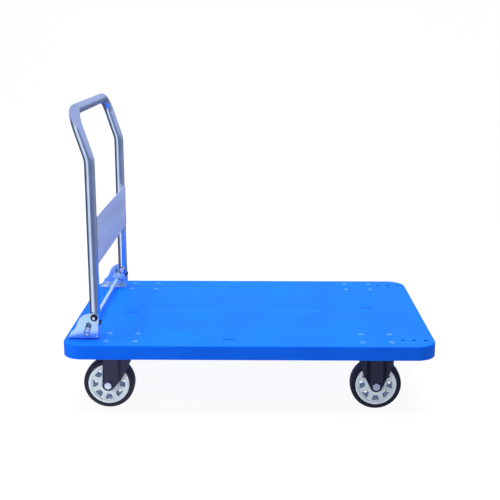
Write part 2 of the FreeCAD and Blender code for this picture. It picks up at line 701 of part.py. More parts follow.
def lock_bar():
    """Round bar across the cart, through the slots of both brackets."""
    reach = UPRIGHT_Y + WALL_HALF - 0.5
    return shaft(BAR_R, -reach, reach, BAR_CENTRE.x, BAR_CENTRE.z)


def bar_clip():
    """Open retaining clip on the bar, just inside the bracket's side wall."""
    y = UPRIGHT_Y + CHANNEL_HALF - PLAY - CLIP_SHEET
    disc = ring_y(CLIP_R, BAR_R, y, y + CLIP_SHEET, BAR_CENTRE.x, BAR_CENTRE.z)
    mouth = block(BAR_CENTRE.x - CLIP_MOUTH / 2, BAR_CENTRE.x + CLIP_MOUTH / 2, y - 1, y + CLIP_SHEET + 1,
                  BAR_CENTRE.z - CLIP_R - 1, BAR_CENTRE.z)
    return disc.cut(mouth)


def lock_spring():
    """Extension spring from the bar up to its peg: two end loops and a coil between them."""
    y = UPRIGHT_Y + CHANNEL_HALF - PLAY - CLIP_SHEET - PLAY - SPRING_COIL_R - SPRING_WIRE
    peg = V(UPRIGHT_X + PEG_X, y, DECK_TOP + PEG_HEIGHT)
    bar = V(BAR_CENTRE.x, y, BAR_CENTRE.z)
    wire = SPRING_WIRE / 2
    bar_loop = BAR_R + wire
    peg_loop = PEG_R + wire
    span = (peg - bar).Length
    low = bar_loop + SPRING_LEAD
    high = span - peg_loop - SPRING_LEAD
    turns = max(2, round((high - low) / SPRING_PITCH))
    helix = Part.makeHelix((high - low) / turns, high - low, SPRING_COIL_R)
    helix.translate(V(0, 0, low))
    section = Part.Wire(Part.makeCircle(wire, V(SPRING_COIL_R, 0, low), V(0, 1, 0)))
    coil = Part.Wire(helix).makePipeShell([section], True, True)
    pieces = [coil]
    for centre, radius in ((0.0, bar_loop), (span, peg_loop)):
        pieces.append(Part.makeTorus(radius, wire, V(0, 0, centre), V(0, 1, 0)))
    root = wire / 2
    for z0, z1, elbow in ((bar_loop - root, low, low), (high, span - peg_loop + root, high)):
        pieces.append(Part.makeCylinder(wire, z1 - z0, V(0, 0, z0)))
        pieces.append(Part.makeSphere(wire, V(0, 0, elbow)))
        pieces.append(Part.makeCylinder(wire, SPRING_COIL_R, V(0, 0, elbow), V(1, 0, 0)))
    spring = pieces[0].multiFuse(pieces[1:])
    lean = math.degrees(math.atan2(peg.x - bar.x, peg.z - bar.z))
    spring.rotate(V(0, 0, 0), V(0, 1, 0), lean)
    spring.translate(bar)
    return spring


def spring_peg():
    """Peg welded to the inner face of the bracket's side wall; the spring hangs on it."""
    root = UPRIGHT_Y + CHANNEL_HALF
    tip = root - 2 * SPRING_COIL_R - CLIP_SHEET - PEG_SPARE
    x = UPRIGHT_X + PEG_X
    z = DECK_TOP + PEG_HEIGHT
    collar = shaft(PEG_R + PEG_COLLAR_WALL, root - PEG_COLLAR, root, x, z)
    return shaft(PEG_R, tip, root, x, z).fuse(collar).removeSplitter()


# ---------------------------------------------------------------- casters


def caster_bolt(x, y):
    """Carriage bolt: domed head on the deck, square neck in it, end below the nut."""
    end = PLATE_BOTTOM - M8_WASHER - M8_NUT - BOLT_END
    head = dome(CASTER_HEAD_R, CASTER_HEAD, DECK_TOP, x, y)
    neck = block(x - CASTER_BOLT_R, x + CASTER_BOLT_R, y - CASTER_BOLT_R, y + CASTER_BOLT_R,
                 DECK_TOP - NECK_DEPTH, DECK_TOP + 0.5)
    return joined([head, neck, post(CASTER_BOLT_R, end, DECK_TOP, x, y)])


def swivel_plate():
    """Stamped top plate of the left swivel caster with its ball race below."""
    plate = block(SWIVEL_X - PLATE_X / 2, SWIVEL_X + PLATE_X / 2, CASTER_Y - PLATE_Y / 2,
                  CASTER_Y + PLATE_Y / 2, PLATE_BOTTOM, PLATE_TOP)
    uprights = [e for e in plate.Edges if e.BoundBox.ZLength > PLATE_SHEET / 2]
    plate = plate.makeFillet(PLATE_CORNER, uprights)
    lip = CROWN_TOP + RACE_HEIGHT / 2 + RACE_GAP / 2
    race = post(RACE_R + RACE_HALF_WIDTH, lip, PLATE_BOTTOM + 1, SWIVEL_X, CASTER_Y)
    race = race.cut(post(RACE_R - RACE_HALF_WIDTH, lip - 1, PLATE_BOTTOM, SWIVEL_X, CASTER_Y))
    cuts = [race_groove(), post(KING_PIN_R, PLATE_BOTTOM - 1, PLATE_TOP + 1, SWIVEL_X, CASTER_Y)]
    cuts += [post(CASTER_BOLT_R + SEAT, PLATE_BOTTOM - 1, PLATE_TOP + 1, x, y)
             for x, y in caster_bolt_places(SWIVEL_X)]
    return plate.fuse(race).cut(cuts).removeSplitter()


def race_groove():
    """Ring-shaped groove that the swivel balls run in."""
    middle = CROWN_TOP + RACE_HEIGHT / 2
    return Part.makeTorus(RACE_R, BALL_R + BALL_CLEAR, V(SWIVEL_X, CASTER_Y, middle), V(0, 0, 1))


def swivel_balls():
    """Loose balls between the plate and the fork."""
    count = int(2 * math.pi * RACE_R / (2 * BALL_R + BALL_GAP))
    centre = V(SWIVEL_X, CASTER_Y, CROWN_TOP + RACE_HEIGHT / 2)
    turns = [2 * math.pi * k / count for k in range(count)]
    return [
        Part.makeSphere(BALL_R, centre + V(math.cos(t), math.sin(t), 0) * RACE_R)
        for t in turns
    ]


def king_pin():
    """Pin riveted in the top plate; its head carries the swivel fork."""
    head_top = CROWN_BOTTOM - PLAY
    head = post(KING_HEAD_R, head_top - KING_HEAD, head_top, SWIVEL_X, CASTER_Y)
    return head.fuse(post(KING_PIN_R, head_top - 1, PLATE_TOP, SWIVEL_X, CASTER_Y)).removeSplitter()


def rib_line(x_low, x_high, rib_low, rib_high, flank, rise, y):
    """Plan line of a leg: flat sheet with one raised rib, from x_low to x_high."""
    return [
        (x_low, y),
        (rib_low - flank, y),
        (rib_low, y + rise),
        (rib_high, y + rise),
        (rib_high + flank, y),
        (x_high, y),
    ]


def leg(outline, line, z0, z1):
    """One fork leg: the ribbed sheet cut to its side outline, on the +Y side of the wheel."""
    back = [(x, y + FORK_SHEET) for x, y in reversed(line)]
    sheet = plate_xy(line + back, z0, z1)
    reach = max(y for _, y in back) + 1
    side = plate_xz(outline, 0.0, reach)
    return sheet.common(side)


def ear_tangent(corner, side):
    """Where a straight edge from a corner touches the round ear; side is -1 or 1."""
    dx = corner[0]
    dz = corner[1] - AXLE_Z
    reach = math.hypot(dx, dz)
    turn = math.atan2(dz, dx) - side * math.acos(EAR_R / reach)
    return (EAR_R * math.cos(turn), AXLE_Z + EAR_R * math.sin(turn))


def swivel_fork():
    """Left swivel fork: a crown with the lower ball race and two raked, ribbed legs."""
    shoulder_z = AXLE_Z + SWIVEL_SHOULDER_SHARE * (CROWN_BOTTOM - AXLE_Z)
    front_low = (SWIVEL_TOE_X, AXLE_Z + SWIVEL_TOE_RISE)
    back_top = (-SWIVEL_BACK, CROWN_TOP)
    outline = [
        back_top,
        (SWIVEL_FRONT, CROWN_TOP),
        (SWIVEL_FRONT - SWIVEL_LIP_IN, CROWN_BOTTOM - SWIVEL_LIP_DROP),
        (SWIVEL_FRONT - SWIVEL_SHOULDER_IN, shoulder_z),
        front_low,
        ear_tangent(front_low, 1),
        ear_tangent(back_top, -1),
    ]
    crown_end = SWIVEL_TRAIL + CROWN_R
    rib_end = 2 * RIB_HALF_WIDTH + SWIVEL_RIB_EXTRA - SWIVEL_RIB_BACK
    start = -SWIVEL_RIB_BACK - SWIVEL_FLANK - 1.0
    line = rib_line(start, crown_end, -SWIVEL_RIB_BACK, rib_end, SWIVEL_FLANK, SWIVEL_RIB_RAISE, LEG_INNER)
    ear = shaft(EAR_R, LEG_INNER + SWIVEL_RIB_RAISE, LEG_OUTER + SWIVEL_RIB_RAISE, 0.0, AXLE_Z)
    one_leg = leg(outline, line, 0.0, CROWN_TOP).fuse(ear)
    outer_line = [(x, y + FORK_SHEET) for x, y in line]
    crown = plate_xy(outer_line + [(x, -y) for x, y in reversed(outer_line)], CROWN_BOTTOM, CROWN_TOP)
    disc = post(CROWN_R, CROWN_BOTTOM - 1, CROWN_TOP + 1, SWIVEL_TRAIL, 0.0)
    back_half = block(-SWIVEL_BACK, SWIVEL_TRAIL, -FORK_REACH, FORK_REACH, CROWN_BOTTOM - 1, CROWN_TOP + 1)
    crown = crown.common(disc.fuse(back_half))
    lip = CROWN_TOP + RACE_HEIGHT / 2 - RACE_GAP / 2
    race = post(RACE_R + RACE_HALF_WIDTH, CROWN_TOP - 1, lip, SWIVEL_TRAIL, 0.0)
    race = race.cut(post(RACE_R - RACE_HALF_WIDTH, CROWN_TOP, lip + 1, SWIVEL_TRAIL, 0.0))
    fork = joined([crown, one_leg, mirrored(one_leg), race])
    fork.translate(V(SWIVEL_AXLE_X, CASTER_Y, 0))
    return fork.cut([
        race_groove(),
        post(KING_PIN_R + RUNNING, CROWN_BOTTOM - 1, CROWN_TOP + RACE_HEIGHT, SWIVEL_X, CASTER_Y),
        shaft(AXLE_R, CASTER_Y - FORK_REACH, CASTER_Y + FORK_REACH, SWIVEL_AXLE_X, AXLE_Z),
    ])


def rigid_fork():
    """Left rigid fork: a bolted flange with two ribbed legs that taper to the axle."""
    half = RIGID_TOP_HALF
    waist = (half - RIGID_WAIST_IN, AXLE_Z + RIGID_WAIST_SHARE * (CROWN_BOTTOM - AXLE_Z))
    knee = (half - RIGID_KNEE_IN, AXLE_Z + RIGID_KNEE_SHARE * (CROWN_BOTTOM - AXLE_Z))
    outline = [(-half, PLATE_TOP), (half, PLATE_TOP), waist, knee, ear_tangent(knee, 1)]
    outline += [ear_tangent((-knee[0], knee[1]), -1), (-knee[0], knee[1]), (-waist[0], waist[1])]
    side = half + 1
    line = rib_line(-side, side, -RIB_HALF_WIDTH, RIB_HALF_WIDTH, RIB_FLANK, RIGID_RIB_RAISE, LEG_INNER)
    one_leg = leg(outline, line, 0.0, PLATE_TOP)
    ear = shaft(EAR_R, LEG_INNER + RIGID_RIB_RAISE, LEG_OUTER + RIGID_RIB_RAISE, 0.0, AXLE_Z)
    one_leg = one_leg.fuse(ear)
    flange = block(-PLATE_X / 2, PLATE_X / 2, -PLATE_Y / 2, PLATE_Y / 2, PLATE_BOTTOM, PLATE_TOP)
    uprights = [e for e in flange.Edges if e.BoundBox.ZLength > PLATE_SHEET / 2]
    flange = flange.makeFillet(PLATE_CORNER, uprights)
    fork = joined([flange, one_leg, mirrored(one_leg)])
    fork.translate(V(RIGID_X, CASTER_Y, 0))
    cuts = [post(CASTER_BOLT_R + SEAT, PLATE_BOTTOM - 1, PLATE_TOP + 1, x, y)
            for x, y in caster_bolt_places(RIGID_X)]
    cuts.append(shaft(AXLE_R, CASTER_Y - FORK_REACH, CASTER_Y + FORK_REACH, RIGID_X, AXLE_Z))
    return fork.cut(cuts)


def axle_bolt(x, rise):
    """Hexagon bolt with its head on the outer side of the cart."""
    face = LEG_OUTER + rise
    head = plate_xz(hex_corners(AXLE_FLATS, x, AXLE_Z), CASTER_Y + face, CASTER_Y + face + AXLE_HEAD)
    end = CASTER_Y - face - AXLE_NUT - 2 * BOLT_END
    return head.fuse(shaft(AXLE_R, end, CASTER_Y + face + 1, x, AXLE_Z)).removeSplitter()


def axle_nut(x, rise):
    """Lock nut on the inner end of an axle bolt."""
    face = CASTER_Y - LEG_OUTER - rise
    return nut_y(AXLE_FLATS, AXLE_R, face - AXLE_NUT, face, x, AXLE_Z)


def axle_spacers(x, rise):
    """Sleeve that the bearings turn on, and a collar at each end that centres the wheel."""
    end = LEG_INNER + rise
    sleeve = ring_y(SPACER_R, AXLE_R, CASTER_Y - end, CASTER_Y + end, x, AXLE_Z)
    collars = [
        ring_y(SPACER_R + AXLE_COLLAR_WALL, SPACER_R, CASTER_Y + low, CASTER_Y + high, x, AXLE_Z)
        for low, high in ((-end, -LEG_INNER), (LEG_INNER, end))
    ]
    return [sleeve] + collars


# ---------------------------------------------------------------- wheels


def wheel_pocket(x, y):
    """Through pocket between two spokes, widest at the rim, with round corners."""
    corners = []
    for radius in (POCKET_INNER_R, POCKET_OUTER_R):
        half_turn = math.pi / POCKET_COUNT - math.asin(POCKET_SPOKE / 2 / radius)
        for sign in ((-1, 1) if radius == POCKET_INNER_R else (1, -1)):
            turn = sign * half_turn
            corners.append((x + radius * math.sin(turn), AXLE_Z + radius * math.cos(turn)))
    tool = plate_xz(corners, y - WHEEL_WIDTH, y + WHEEL_WIDTH)
    long_edges = [e for e in tool.Edges if e.BoundBox.YLength > WHEEL_WIDTH]
    return tool.makeFillet(POCKET_ROUND, long_edges)


def wheel_core(x):
    """Moulded centre: hub, dished web with through pockets, and a rim seat for the tyre."""
    y = CASTER_Y
    half = WHEEL_WIDTH / 2
    dish = half - RIM_DISH
    step = HUB_HALF - BEARING_LENGTH
    seat = RIM_R - RIM_WALL
    profile = [
        (-half, BEARING_R), (-half, HUB_R), (-dish, HUB_R + DISH_SLOPE), (-dish, seat - DISH_SLOPE),
        (-half, seat), (-half + TYRE_INSET, RIM_R), (half - TYRE_INSET, RIM_R), (half, seat),
        (dish, seat - DISH_SLOPE), (dish, HUB_R + DISH_SLOPE), (half, HUB_R), (half, BEARING_R),
        (step, BEARING_R), (step, SPACER_R + BEARING_LIP),
        (-step, SPACER_R + BEARING_LIP), (-step, BEARING_R),
    ]
    core = spun(profile, x, y)
    tool = wheel_pocket(x, y)
    tools = []
    for k in range(POCKET_COUNT):
        turned = tool.copy()
        turned.rotate(V(x, y, AXLE_Z), V(0, 1, 0), 360 * k / POCKET_COUNT)
        tools.append(turned)
    return core.cut(tools)


def tyre(x):
    """Solid rubber tyre moulded on the rim, with round shoulders."""
    half = WHEEL_WIDTH / 2 - TYRE_INSET
    ring = ring_y(WHEEL_R, RIM_R, CASTER_Y - half, CASTER_Y + half, x, AXLE_Z)
    circles = [e for e in ring.Edges if e.BoundBox.YLength < 0.01]
    rims = [e for e in circles if abs(e.BoundBox.ZMax - AXLE_Z - WHEEL_R) < 0.01]
    return ring.makeFillet(TYRE_SHOULDER, rims)


def bearings(x):
    """Two ball bearings in the hub, each as one ring with recessed shields."""
    rings = []
    for side in (-1, 1):
        outer_end = CASTER_Y + side * HUB_HALF
        inner_end = CASTER_Y + side * (HUB_HALF - BEARING_LENGTH)
        low = min(outer_end, inner_end)
        high = max(outer_end, inner_end)
        ring = ring_y(BEARING_R, SPACER_R + RUNNING, low, high, x, AXLE_Z)
        shields = [
            ring_y(BEARING_R - BEARING_LIP, SPACER_R + BEARING_LIP, low - 1, low + SHIELD_DEPTH, x, AXLE_Z),
            ring_y(BEARING_R - BEARING_LIP, SPACER_R + BEARING_LIP, high - SHIELD_DEPTH, high + 1, x, AXLE_Z),
        ]
        rings.append(ring.cut(shields))
    return rings


# ---------------------------------------------------------------- all nodes


def both(builder, *values):
    """A list of left and right copies of what a builder makes."""
    made = builder(*values)
    pieces = made if isinstance(made, list) else [made]
    return pieces + [mirrored(piece) for piece in pieces]


def all_nodes():
    """Every sub-part by node name; a node of identical pieces holds a list of solids."""
    nodes = {
        "deck": [deck()],
        "deck_plugs": [deck_plug(place) for place in PLUG_PLACES],
        "hinge_bracket_left": [hinge_bracket()],
        "hinge_bracket_right": [mirrored(hinge_bracket())],
        "bracket_bolts": [],
        "bracket_washers": [],
        "bracket_nuts": [],
        "fold_buffers": both(fold_buffer),
        "pivot_bolts": both(pivot_bolt),
        "pivot_washers": both(pivot_washers),
        "pivot_nuts": both(pivot_nut),
        "pivot_bushes": both(pivot_bushes),
        "handle_tube": [handle_tube()],
        "cross_plate": [cross_plate()],
        "lock_tongues": both(lock_tongue),
        "lock_bar": [lock_bar()],
        "lock_bar_clips": both(bar_clip),
        "lock_springs": both(lock_spring),
        "spring_pegs": both(spring_peg),
        "swivel_plates": both(swivel_plate),
        "king_pins": both(king_pin),
        "caster_bolts": [],
        "caster_washers": [],
        "caster_nuts": [],
        "front_forks": both(rigid_fork),
        "front_axle_bolts": both(axle_bolt, RIGID_X, RIGID_RIB_RAISE),
        "front_axle_nuts": both(axle_nut, RIGID_X, RIGID_RIB_RAISE),
        "front_axle_spacers": both(axle_spacers, RIGID_X, RIGID_RIB_RAISE),
    }
    under = DECK_UNDER - BOSS_DEPTH
    for x in BRACKET_BOLT_XS:
        nodes["bracket_bolts"] += both(bracket_bolt, x)
        nodes["bracket_washers"] += both(washer_z, under, x, UPRIGHT_Y)
        nodes["bracket_nuts"] += both(
            nut_z, M8_FLATS, BRACKET_BOLT_R, under - M8_WASHER - M8_NUT, under - M8_WASHER, x, UPRIGHT_Y)
    for centre in (SWIVEL_X, RIGID_X):
        for x, y in caster_bolt_places(centre):
            nodes["caster_bolts"] += both(caster_bolt, x, y)
            nodes["caster_washers"] += both(washer_z, PLATE_BOTTOM, x, y)
            low = PLATE_BOTTOM - M8_WASHER - M8_NUT
            nodes["caster_nuts"] += both(nut_z, M8_FLATS, CASTER_BOLT_R, low, low + M8_NUT, x, y)
    per_side = {
        "rear_{}_fork": [swivel_fork()],
        "rear_{}_swivel_balls": swivel_balls(),
        "rear_{}_axle_bolt": [axle_bolt(SWIVEL_AXLE_X, SWIVEL_RIB_RAISE)],
        "rear_{}_axle_nut": [axle_nut(SWIVEL_AXLE_X, SWIVEL_RIB_RAISE)],
        "rear_{}_axle_spacers": axle_spacers(SWIVEL_AXLE_X, SWIVEL_RIB_RAISE),
    }
    for end, x in (("rear", SWIVEL_AXLE_X), ("front", RIGID_X)):
        per_side[end + "_{}_wheel_core"] = [wheel_core(x)]
        per_side[end + "_{}_tyre"] = [tyre(x)]
        per_side[end + "_{}_bearings"] = bearings(x)
    for name, pieces in per_side.items():
        nodes[name.format("left")] = pieces
        nodes[name.format("right")] = [mirrored(piece) for piece in pieces]
    return nodes


def solids_of(pieces):
    """The solids in a list of shapes, whatever wrapper each operation left round them."""
    return [solid for piece in pieces for solid in piece.Solids]


for name, pieces in all_nodes().items():
    solids = solids_of(pieces)
    shape = solids[0] if len(solids) == 1 else Part.makeCompound(solids)
    if len(solids) != len(pieces) or not all(s.isValid() and s.Volume > 0 for s in solids):
        print("CHECK", name, len(pieces), "pieces,", len(solids), "solids")
    shape.exportStep("parts/" + name + ".step")
print("deck top", DECK_TOP, "pivot", UPRIGHT_X, PIVOT_Z, "bar", BAR_CENTRE.x, BAR_CENTRE.z)
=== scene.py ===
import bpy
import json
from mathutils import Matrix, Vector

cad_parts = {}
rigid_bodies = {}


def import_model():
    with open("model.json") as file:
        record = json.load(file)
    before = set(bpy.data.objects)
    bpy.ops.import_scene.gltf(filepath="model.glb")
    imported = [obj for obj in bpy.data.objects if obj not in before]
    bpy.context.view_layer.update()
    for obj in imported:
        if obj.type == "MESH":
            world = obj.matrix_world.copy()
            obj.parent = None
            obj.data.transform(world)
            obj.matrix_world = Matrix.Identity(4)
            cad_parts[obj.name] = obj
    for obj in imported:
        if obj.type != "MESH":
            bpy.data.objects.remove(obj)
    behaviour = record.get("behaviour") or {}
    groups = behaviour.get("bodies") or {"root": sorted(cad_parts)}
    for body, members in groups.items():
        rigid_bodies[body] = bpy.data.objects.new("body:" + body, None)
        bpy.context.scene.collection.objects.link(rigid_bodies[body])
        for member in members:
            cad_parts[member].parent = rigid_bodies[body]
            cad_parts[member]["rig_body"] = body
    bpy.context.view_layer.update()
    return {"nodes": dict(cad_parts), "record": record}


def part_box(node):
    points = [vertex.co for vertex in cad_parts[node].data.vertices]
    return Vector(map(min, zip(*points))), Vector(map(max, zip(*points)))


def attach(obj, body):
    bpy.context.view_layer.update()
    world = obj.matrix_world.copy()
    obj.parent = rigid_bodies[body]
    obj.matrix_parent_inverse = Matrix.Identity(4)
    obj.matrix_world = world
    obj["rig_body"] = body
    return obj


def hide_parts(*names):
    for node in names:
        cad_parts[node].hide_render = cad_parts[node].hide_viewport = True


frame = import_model()

import json
import math

import bmesh
import bpy
import numpy as np
from mathutils import Vector


# ---------------------------------------------------------------------------- studio
# A wide sheet of glowing white card runs under the cart and curves up behind it, as on a product table.
# Four soft lamps stand front left, front right, overhead and low at the handle end.
# Polished metal sees a painted reflection of blue-grey walls, bright bands and a ceiling round the table
# instead of the white card.

CARD_HALF_WIDTH = 9.0
CARD_FRONT = -9.0
CARD_BACK = 3.4
CARD_CURVE = 1.6
CARD_HEIGHT = 4.0
CARD_GLOW = 0.93
CARD_CLOUD = 0.02
CARD_SHADE = 0.07
CEILING_TONE = (0.44, 0.54, 0.86, 1)
CEILING_ON_CARD = (0.3, 1.4)       # metres above the floor
CEILING_IN_WORLD = (0.0, 0.2)      # upward share of a direction
WORLD_WHITE = (0.97, 0.97, 0.98, 1)
WORLD_DUSK = (0.12, 0.13, 0.15, 1)

# Painted reflection that polished metal sees at each compass heading round the cart: share of a full
# turn, and colour.
PAINTED_REFLECTION_TONES = (
    (0.000, (0.080, 0.120, 0.230)),
    (0.050, (0.100, 0.150, 0.280)),
    (0.100, (0.880, 1.000, 1.150)),
    (0.160, (0.920, 1.050, 1.250)),
    (0.205, (0.320, 0.430, 0.680)),
    (0.245, (0.130, 0.180, 0.320)),
    (0.430, (0.210, 0.260, 0.430)),
    (0.560, (0.290, 0.360, 0.570)),
    (0.700, (0.150, 0.190, 0.330)),
    (0.800, (0.090, 0.110, 0.200)),
)

scene = bpy.context.scene
scene.view_settings.view_transform = "Standard"


def linked(obj):
    """Put a new object into the scene."""
    bpy.context.scene.collection.objects.link(obj)
    return obj


def painted_reflection_tones(tree, heading, low, high):
    """Painted reflection: a colour ramp over the compass heading of a point or a direction.

    Between the heights low and high the ceiling's tone takes over."""
    turn = tree.nodes.new("ShaderNodeTexGradient")
    turn.gradient_type = "RADIAL"
    ramp = tree.nodes.new("ShaderNodeValToRGB")
    while len(ramp.color_ramp.elements) < len(PAINTED_REFLECTION_TONES):
        ramp.color_ramp.elements.new(0.5)
    for stop, (share, colour) in zip(ramp.color_ramp.elements, PAINTED_REFLECTION_TONES):
        stop.position = share
        stop.color = (*colour, 1)
    tree.links.new(heading, turn.inputs["Vector"])
    tree.links.new(turn.outputs["Fac"], ramp.inputs["Fac"])
    upward = tree.nodes.new("ShaderNodeSeparateXYZ")
    steep = tree.nodes.new("ShaderNodeMapRange")
    steep.inputs["From Min"].default_value = low
    steep.inputs["From Max"].default_value = high
    ceiling = tree.nodes.new("ShaderNodeMix")
    ceiling.data_type = "RGBA"
    ceiling.inputs["B"].default_value = CEILING_TONE
    tree.links.new(heading, upward.inputs["Vector"])
    tree.links.new(upward.outputs["Z"], steep.inputs["Value"])
    tree.links.new(steep.outputs["Result"], ceiling.inputs["Factor"])
    tree.links.new(ramp.outputs["Color"], ceiling.inputs["A"])
    return ceiling.outputs["Result"]


def table_card():
    """White card that glows a little, faintly cloudy; to glossy rays it shows a painted reflection of dim
    walls instead.
    """
    material = bpy.data.materials.new("table_card")
    material.use_nodes = True
    tree = material.node_tree
    shader = tree.nodes["Principled BSDF"]
    shader.inputs["Base Color"].default_value = (CARD_SHADE, CARD_SHADE, CARD_SHADE, 1)
    shader.inputs["Roughness"].default_value = 0.9
    shader.inputs["Specular IOR Level"].default_value = 0.0
    place = tree.nodes.new("ShaderNodeTexCoord")
    cloud = tree.nodes.new("ShaderNodeTexNoise")
    cloud.inputs["Scale"].default_value = 0.7
    glow = tree.nodes.new("ShaderNodeMapRange")
    glow.inputs["To Min"].default_value = CARD_GLOW
    glow.inputs["To Max"].default_value = CARD_GLOW + CARD_CLOUD
    shader.inputs["Emission Color"].default_value = (1, 1, 1, 1)
    dim = tree.nodes.new("ShaderNodeEmission")
    ray = tree.nodes.new("ShaderNodeLightPath")
    both = tree.nodes.new("ShaderNodeMixShader")
    tree.links.new(place.outputs["Object"], cloud.inputs["Vector"])
    tree.links.new(cloud.outputs["Fac"], glow.inputs["Value"])
    tree.links.new(glow.outputs["Result"], shader.inputs["Emission Strength"])
    tree.links.new(painted_reflection_tones(tree, place.outputs["Object"], *CEILING_ON_CARD), dim.inputs["Color"])
    tree.links.new(ray.outputs["Is Glossy Ray"], both.inputs["Fac"])
    tree.links.new(shader.outputs["BSDF"], both.inputs[1])
    tree.links.new(dim.outputs["Emission"], both.inputs[2])
    tree.links.new(both.outputs["Shader"], tree.nodes["Material Output"].inputs["Surface"])
    return material


def card_mesh():
    """Profile (y, z) of floor, quarter circle and wall, carried straight along X."""
    turn = np.linspace(0, math.pi / 2, 25)
    curve = np.column_stack([CARD_BACK + CARD_CURVE * np.sin(turn), CARD_CURVE * (1 - np.cos(turn))])
    profile = np.vstack([[CARD_FRONT, 0.0], curve, [CARD_BACK + CARD_CURVE, CARD_HEIGHT]])
    across = np.array([-CARD_HALF_WIDTH, CARD_HALF_WIDTH])
    points = np.empty((len(profile), 2, 3))
    points[:, :, 0] = across
    points[:, :, 1:] = profile[:, None, :]
    row = np.arange(len(profile) - 1)
    faces = np.column_stack([2 * row, 2 * row + 1, 2 * row + 3, 2 * row + 2])
    mesh = bpy.data.meshes.new("studio_card")
    mesh.from_pydata(points.reshape(-1, 3).tolist(), [], faces.tolist())
    mesh.shade_smooth()
    return mesh


card = linked(bpy.data.objects.new("studio_card", card_mesh()))
card.data.materials.append(table_card())


# Name, place, target, width, height, power in watts, and colour.
LAMPS = (
    ("key_lamp", (-2.6, -3.2, 2.6), (-0.1, 0, 0.25), 1.6, 2.2, 10, (1.0, 0.99, 0.98)),
    ("fill_lamp", (3.2, -2.6, 1.9), (0.1, 0, 0.25), 1.4, 1.8, 2, (0.96, 0.98, 1.0)),
    ("top_lamp", (0.0, 0.3, 3.6), (0, 0, 0), 3.2, 2.6, 268, (1.0, 1.0, 1.0)),
    ("low_lamp", (-1.5, -1.1, 0.35), (-0.4, -0.3, 0.15), 0.4, 0.4, 11, (1.0, 1.0, 1.0)),
)


def soft_lamp(name, place, target, width, height, power, colour):
    """Rectangular lamp at place that faces target."""
    lamp = bpy.data.lights.new(name, "AREA")
    lamp.shape = "RECTANGLE"
    lamp.size = width
    lamp.size_y = height
    lamp.energy = power
    lamp.color = colour
    obj = linked(bpy.data.objects.new(name, lamp))
    obj.location = place
    obj.rotation_euler = (Vector(target) - Vector(place)).to_track_quat("-Z", "Y").to_euler()
    obj.visible_camera = False
    obj.visible_glossy = False


for lamp_row in LAMPS:
    soft_lamp(*lamp_row)

world = bpy.data.worlds.new("studio_world")
world.use_nodes = True
sky = world.node_tree
walls = sky.nodes["Background"]
white = sky.nodes.new("ShaderNodeBackground")
white.inputs["Color"].default_value = WORLD_WHITE
dusk = sky.nodes.new("ShaderNodeBackground")
dusk.inputs["Color"].default_value = WORLD_DUSK
seen = sky.nodes.new("ShaderNodeLightPath")
soften = sky.nodes.new("ShaderNodeMixShader")
pick = sky.nodes.new("ShaderNodeMixShader")
toward = sky.nodes.new("ShaderNodeTexCoord")
# Glossy rays see the painted reflection of the walls here too, diffuse rays a dim dusk, and the camera
# plain white.
sky.links.new(painted_reflection_tones(sky, toward.outputs["Generated"], *CEILING_IN_WORLD), walls.inputs["Color"])
sky.links.new(seen.outputs["Is Camera Ray"], pick.inputs["Fac"])
sky.links.new(seen.outputs["Is Diffuse Ray"], soften.inputs["Fac"])
sky.links.new(walls.outputs["Background"], soften.inputs[1])
sky.links.new(dusk.outputs["Background"], soften.inputs[2])
sky.links.new(soften.outputs["Shader"], pick.inputs[1])
sky.links.new(white.outputs["Background"], pick.inputs[2])
sky.links.new(pick.outputs["Shader"], sky.nodes["World Output"].inputs["Surface"])
scene.world = world

CAMERA_PLACE = (0.0285, -2.4132, 0.9068)
CAMERA_TILT_DOWN = 0.2302
CAMERA_TURN = 0.0122
CAMERA_LENS = 67.5
CAMERA_SENSOR = 36

lens = bpy.data.cameras.new("studio_camera")
lens.lens = CAMERA_LENS
lens.sensor_width = CAMERA_SENSOR
camera = linked(bpy.data.objects.new("studio_camera", lens))
camera.location = CAMERA_PLACE
camera.rotation_euler = (math.pi / 2 - CAMERA_TILT_DOWN, 0, CAMERA_TURN)
scene.camera = camera


# ---------------------------------------------------------------------------- deck moulding
# One injection moulding in blue polypropylene: a flat top, a deep skirt, and ribs and bosses below.
# The moulded skin has a fine spark-eroded grain and faint drag scuffs.

DECK_BLUE_DEEP = (0.0024, 0.110, 0.780)
DECK_BLUE_LIGHT = (0.0036, 0.132, 0.860)
DECK_SCUFF = (0.012, 0.220, 0.920, 1)
DECK_EDGE = 0.0006
DECK_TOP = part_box("deck")[1].z
CLOUD_SPAN = (0.3, 0.7)
MERGE_REACH = 2e-6
FLAT_WITHIN = math.radians(0.4)
ROUNDED_PAST = math.radians(38)


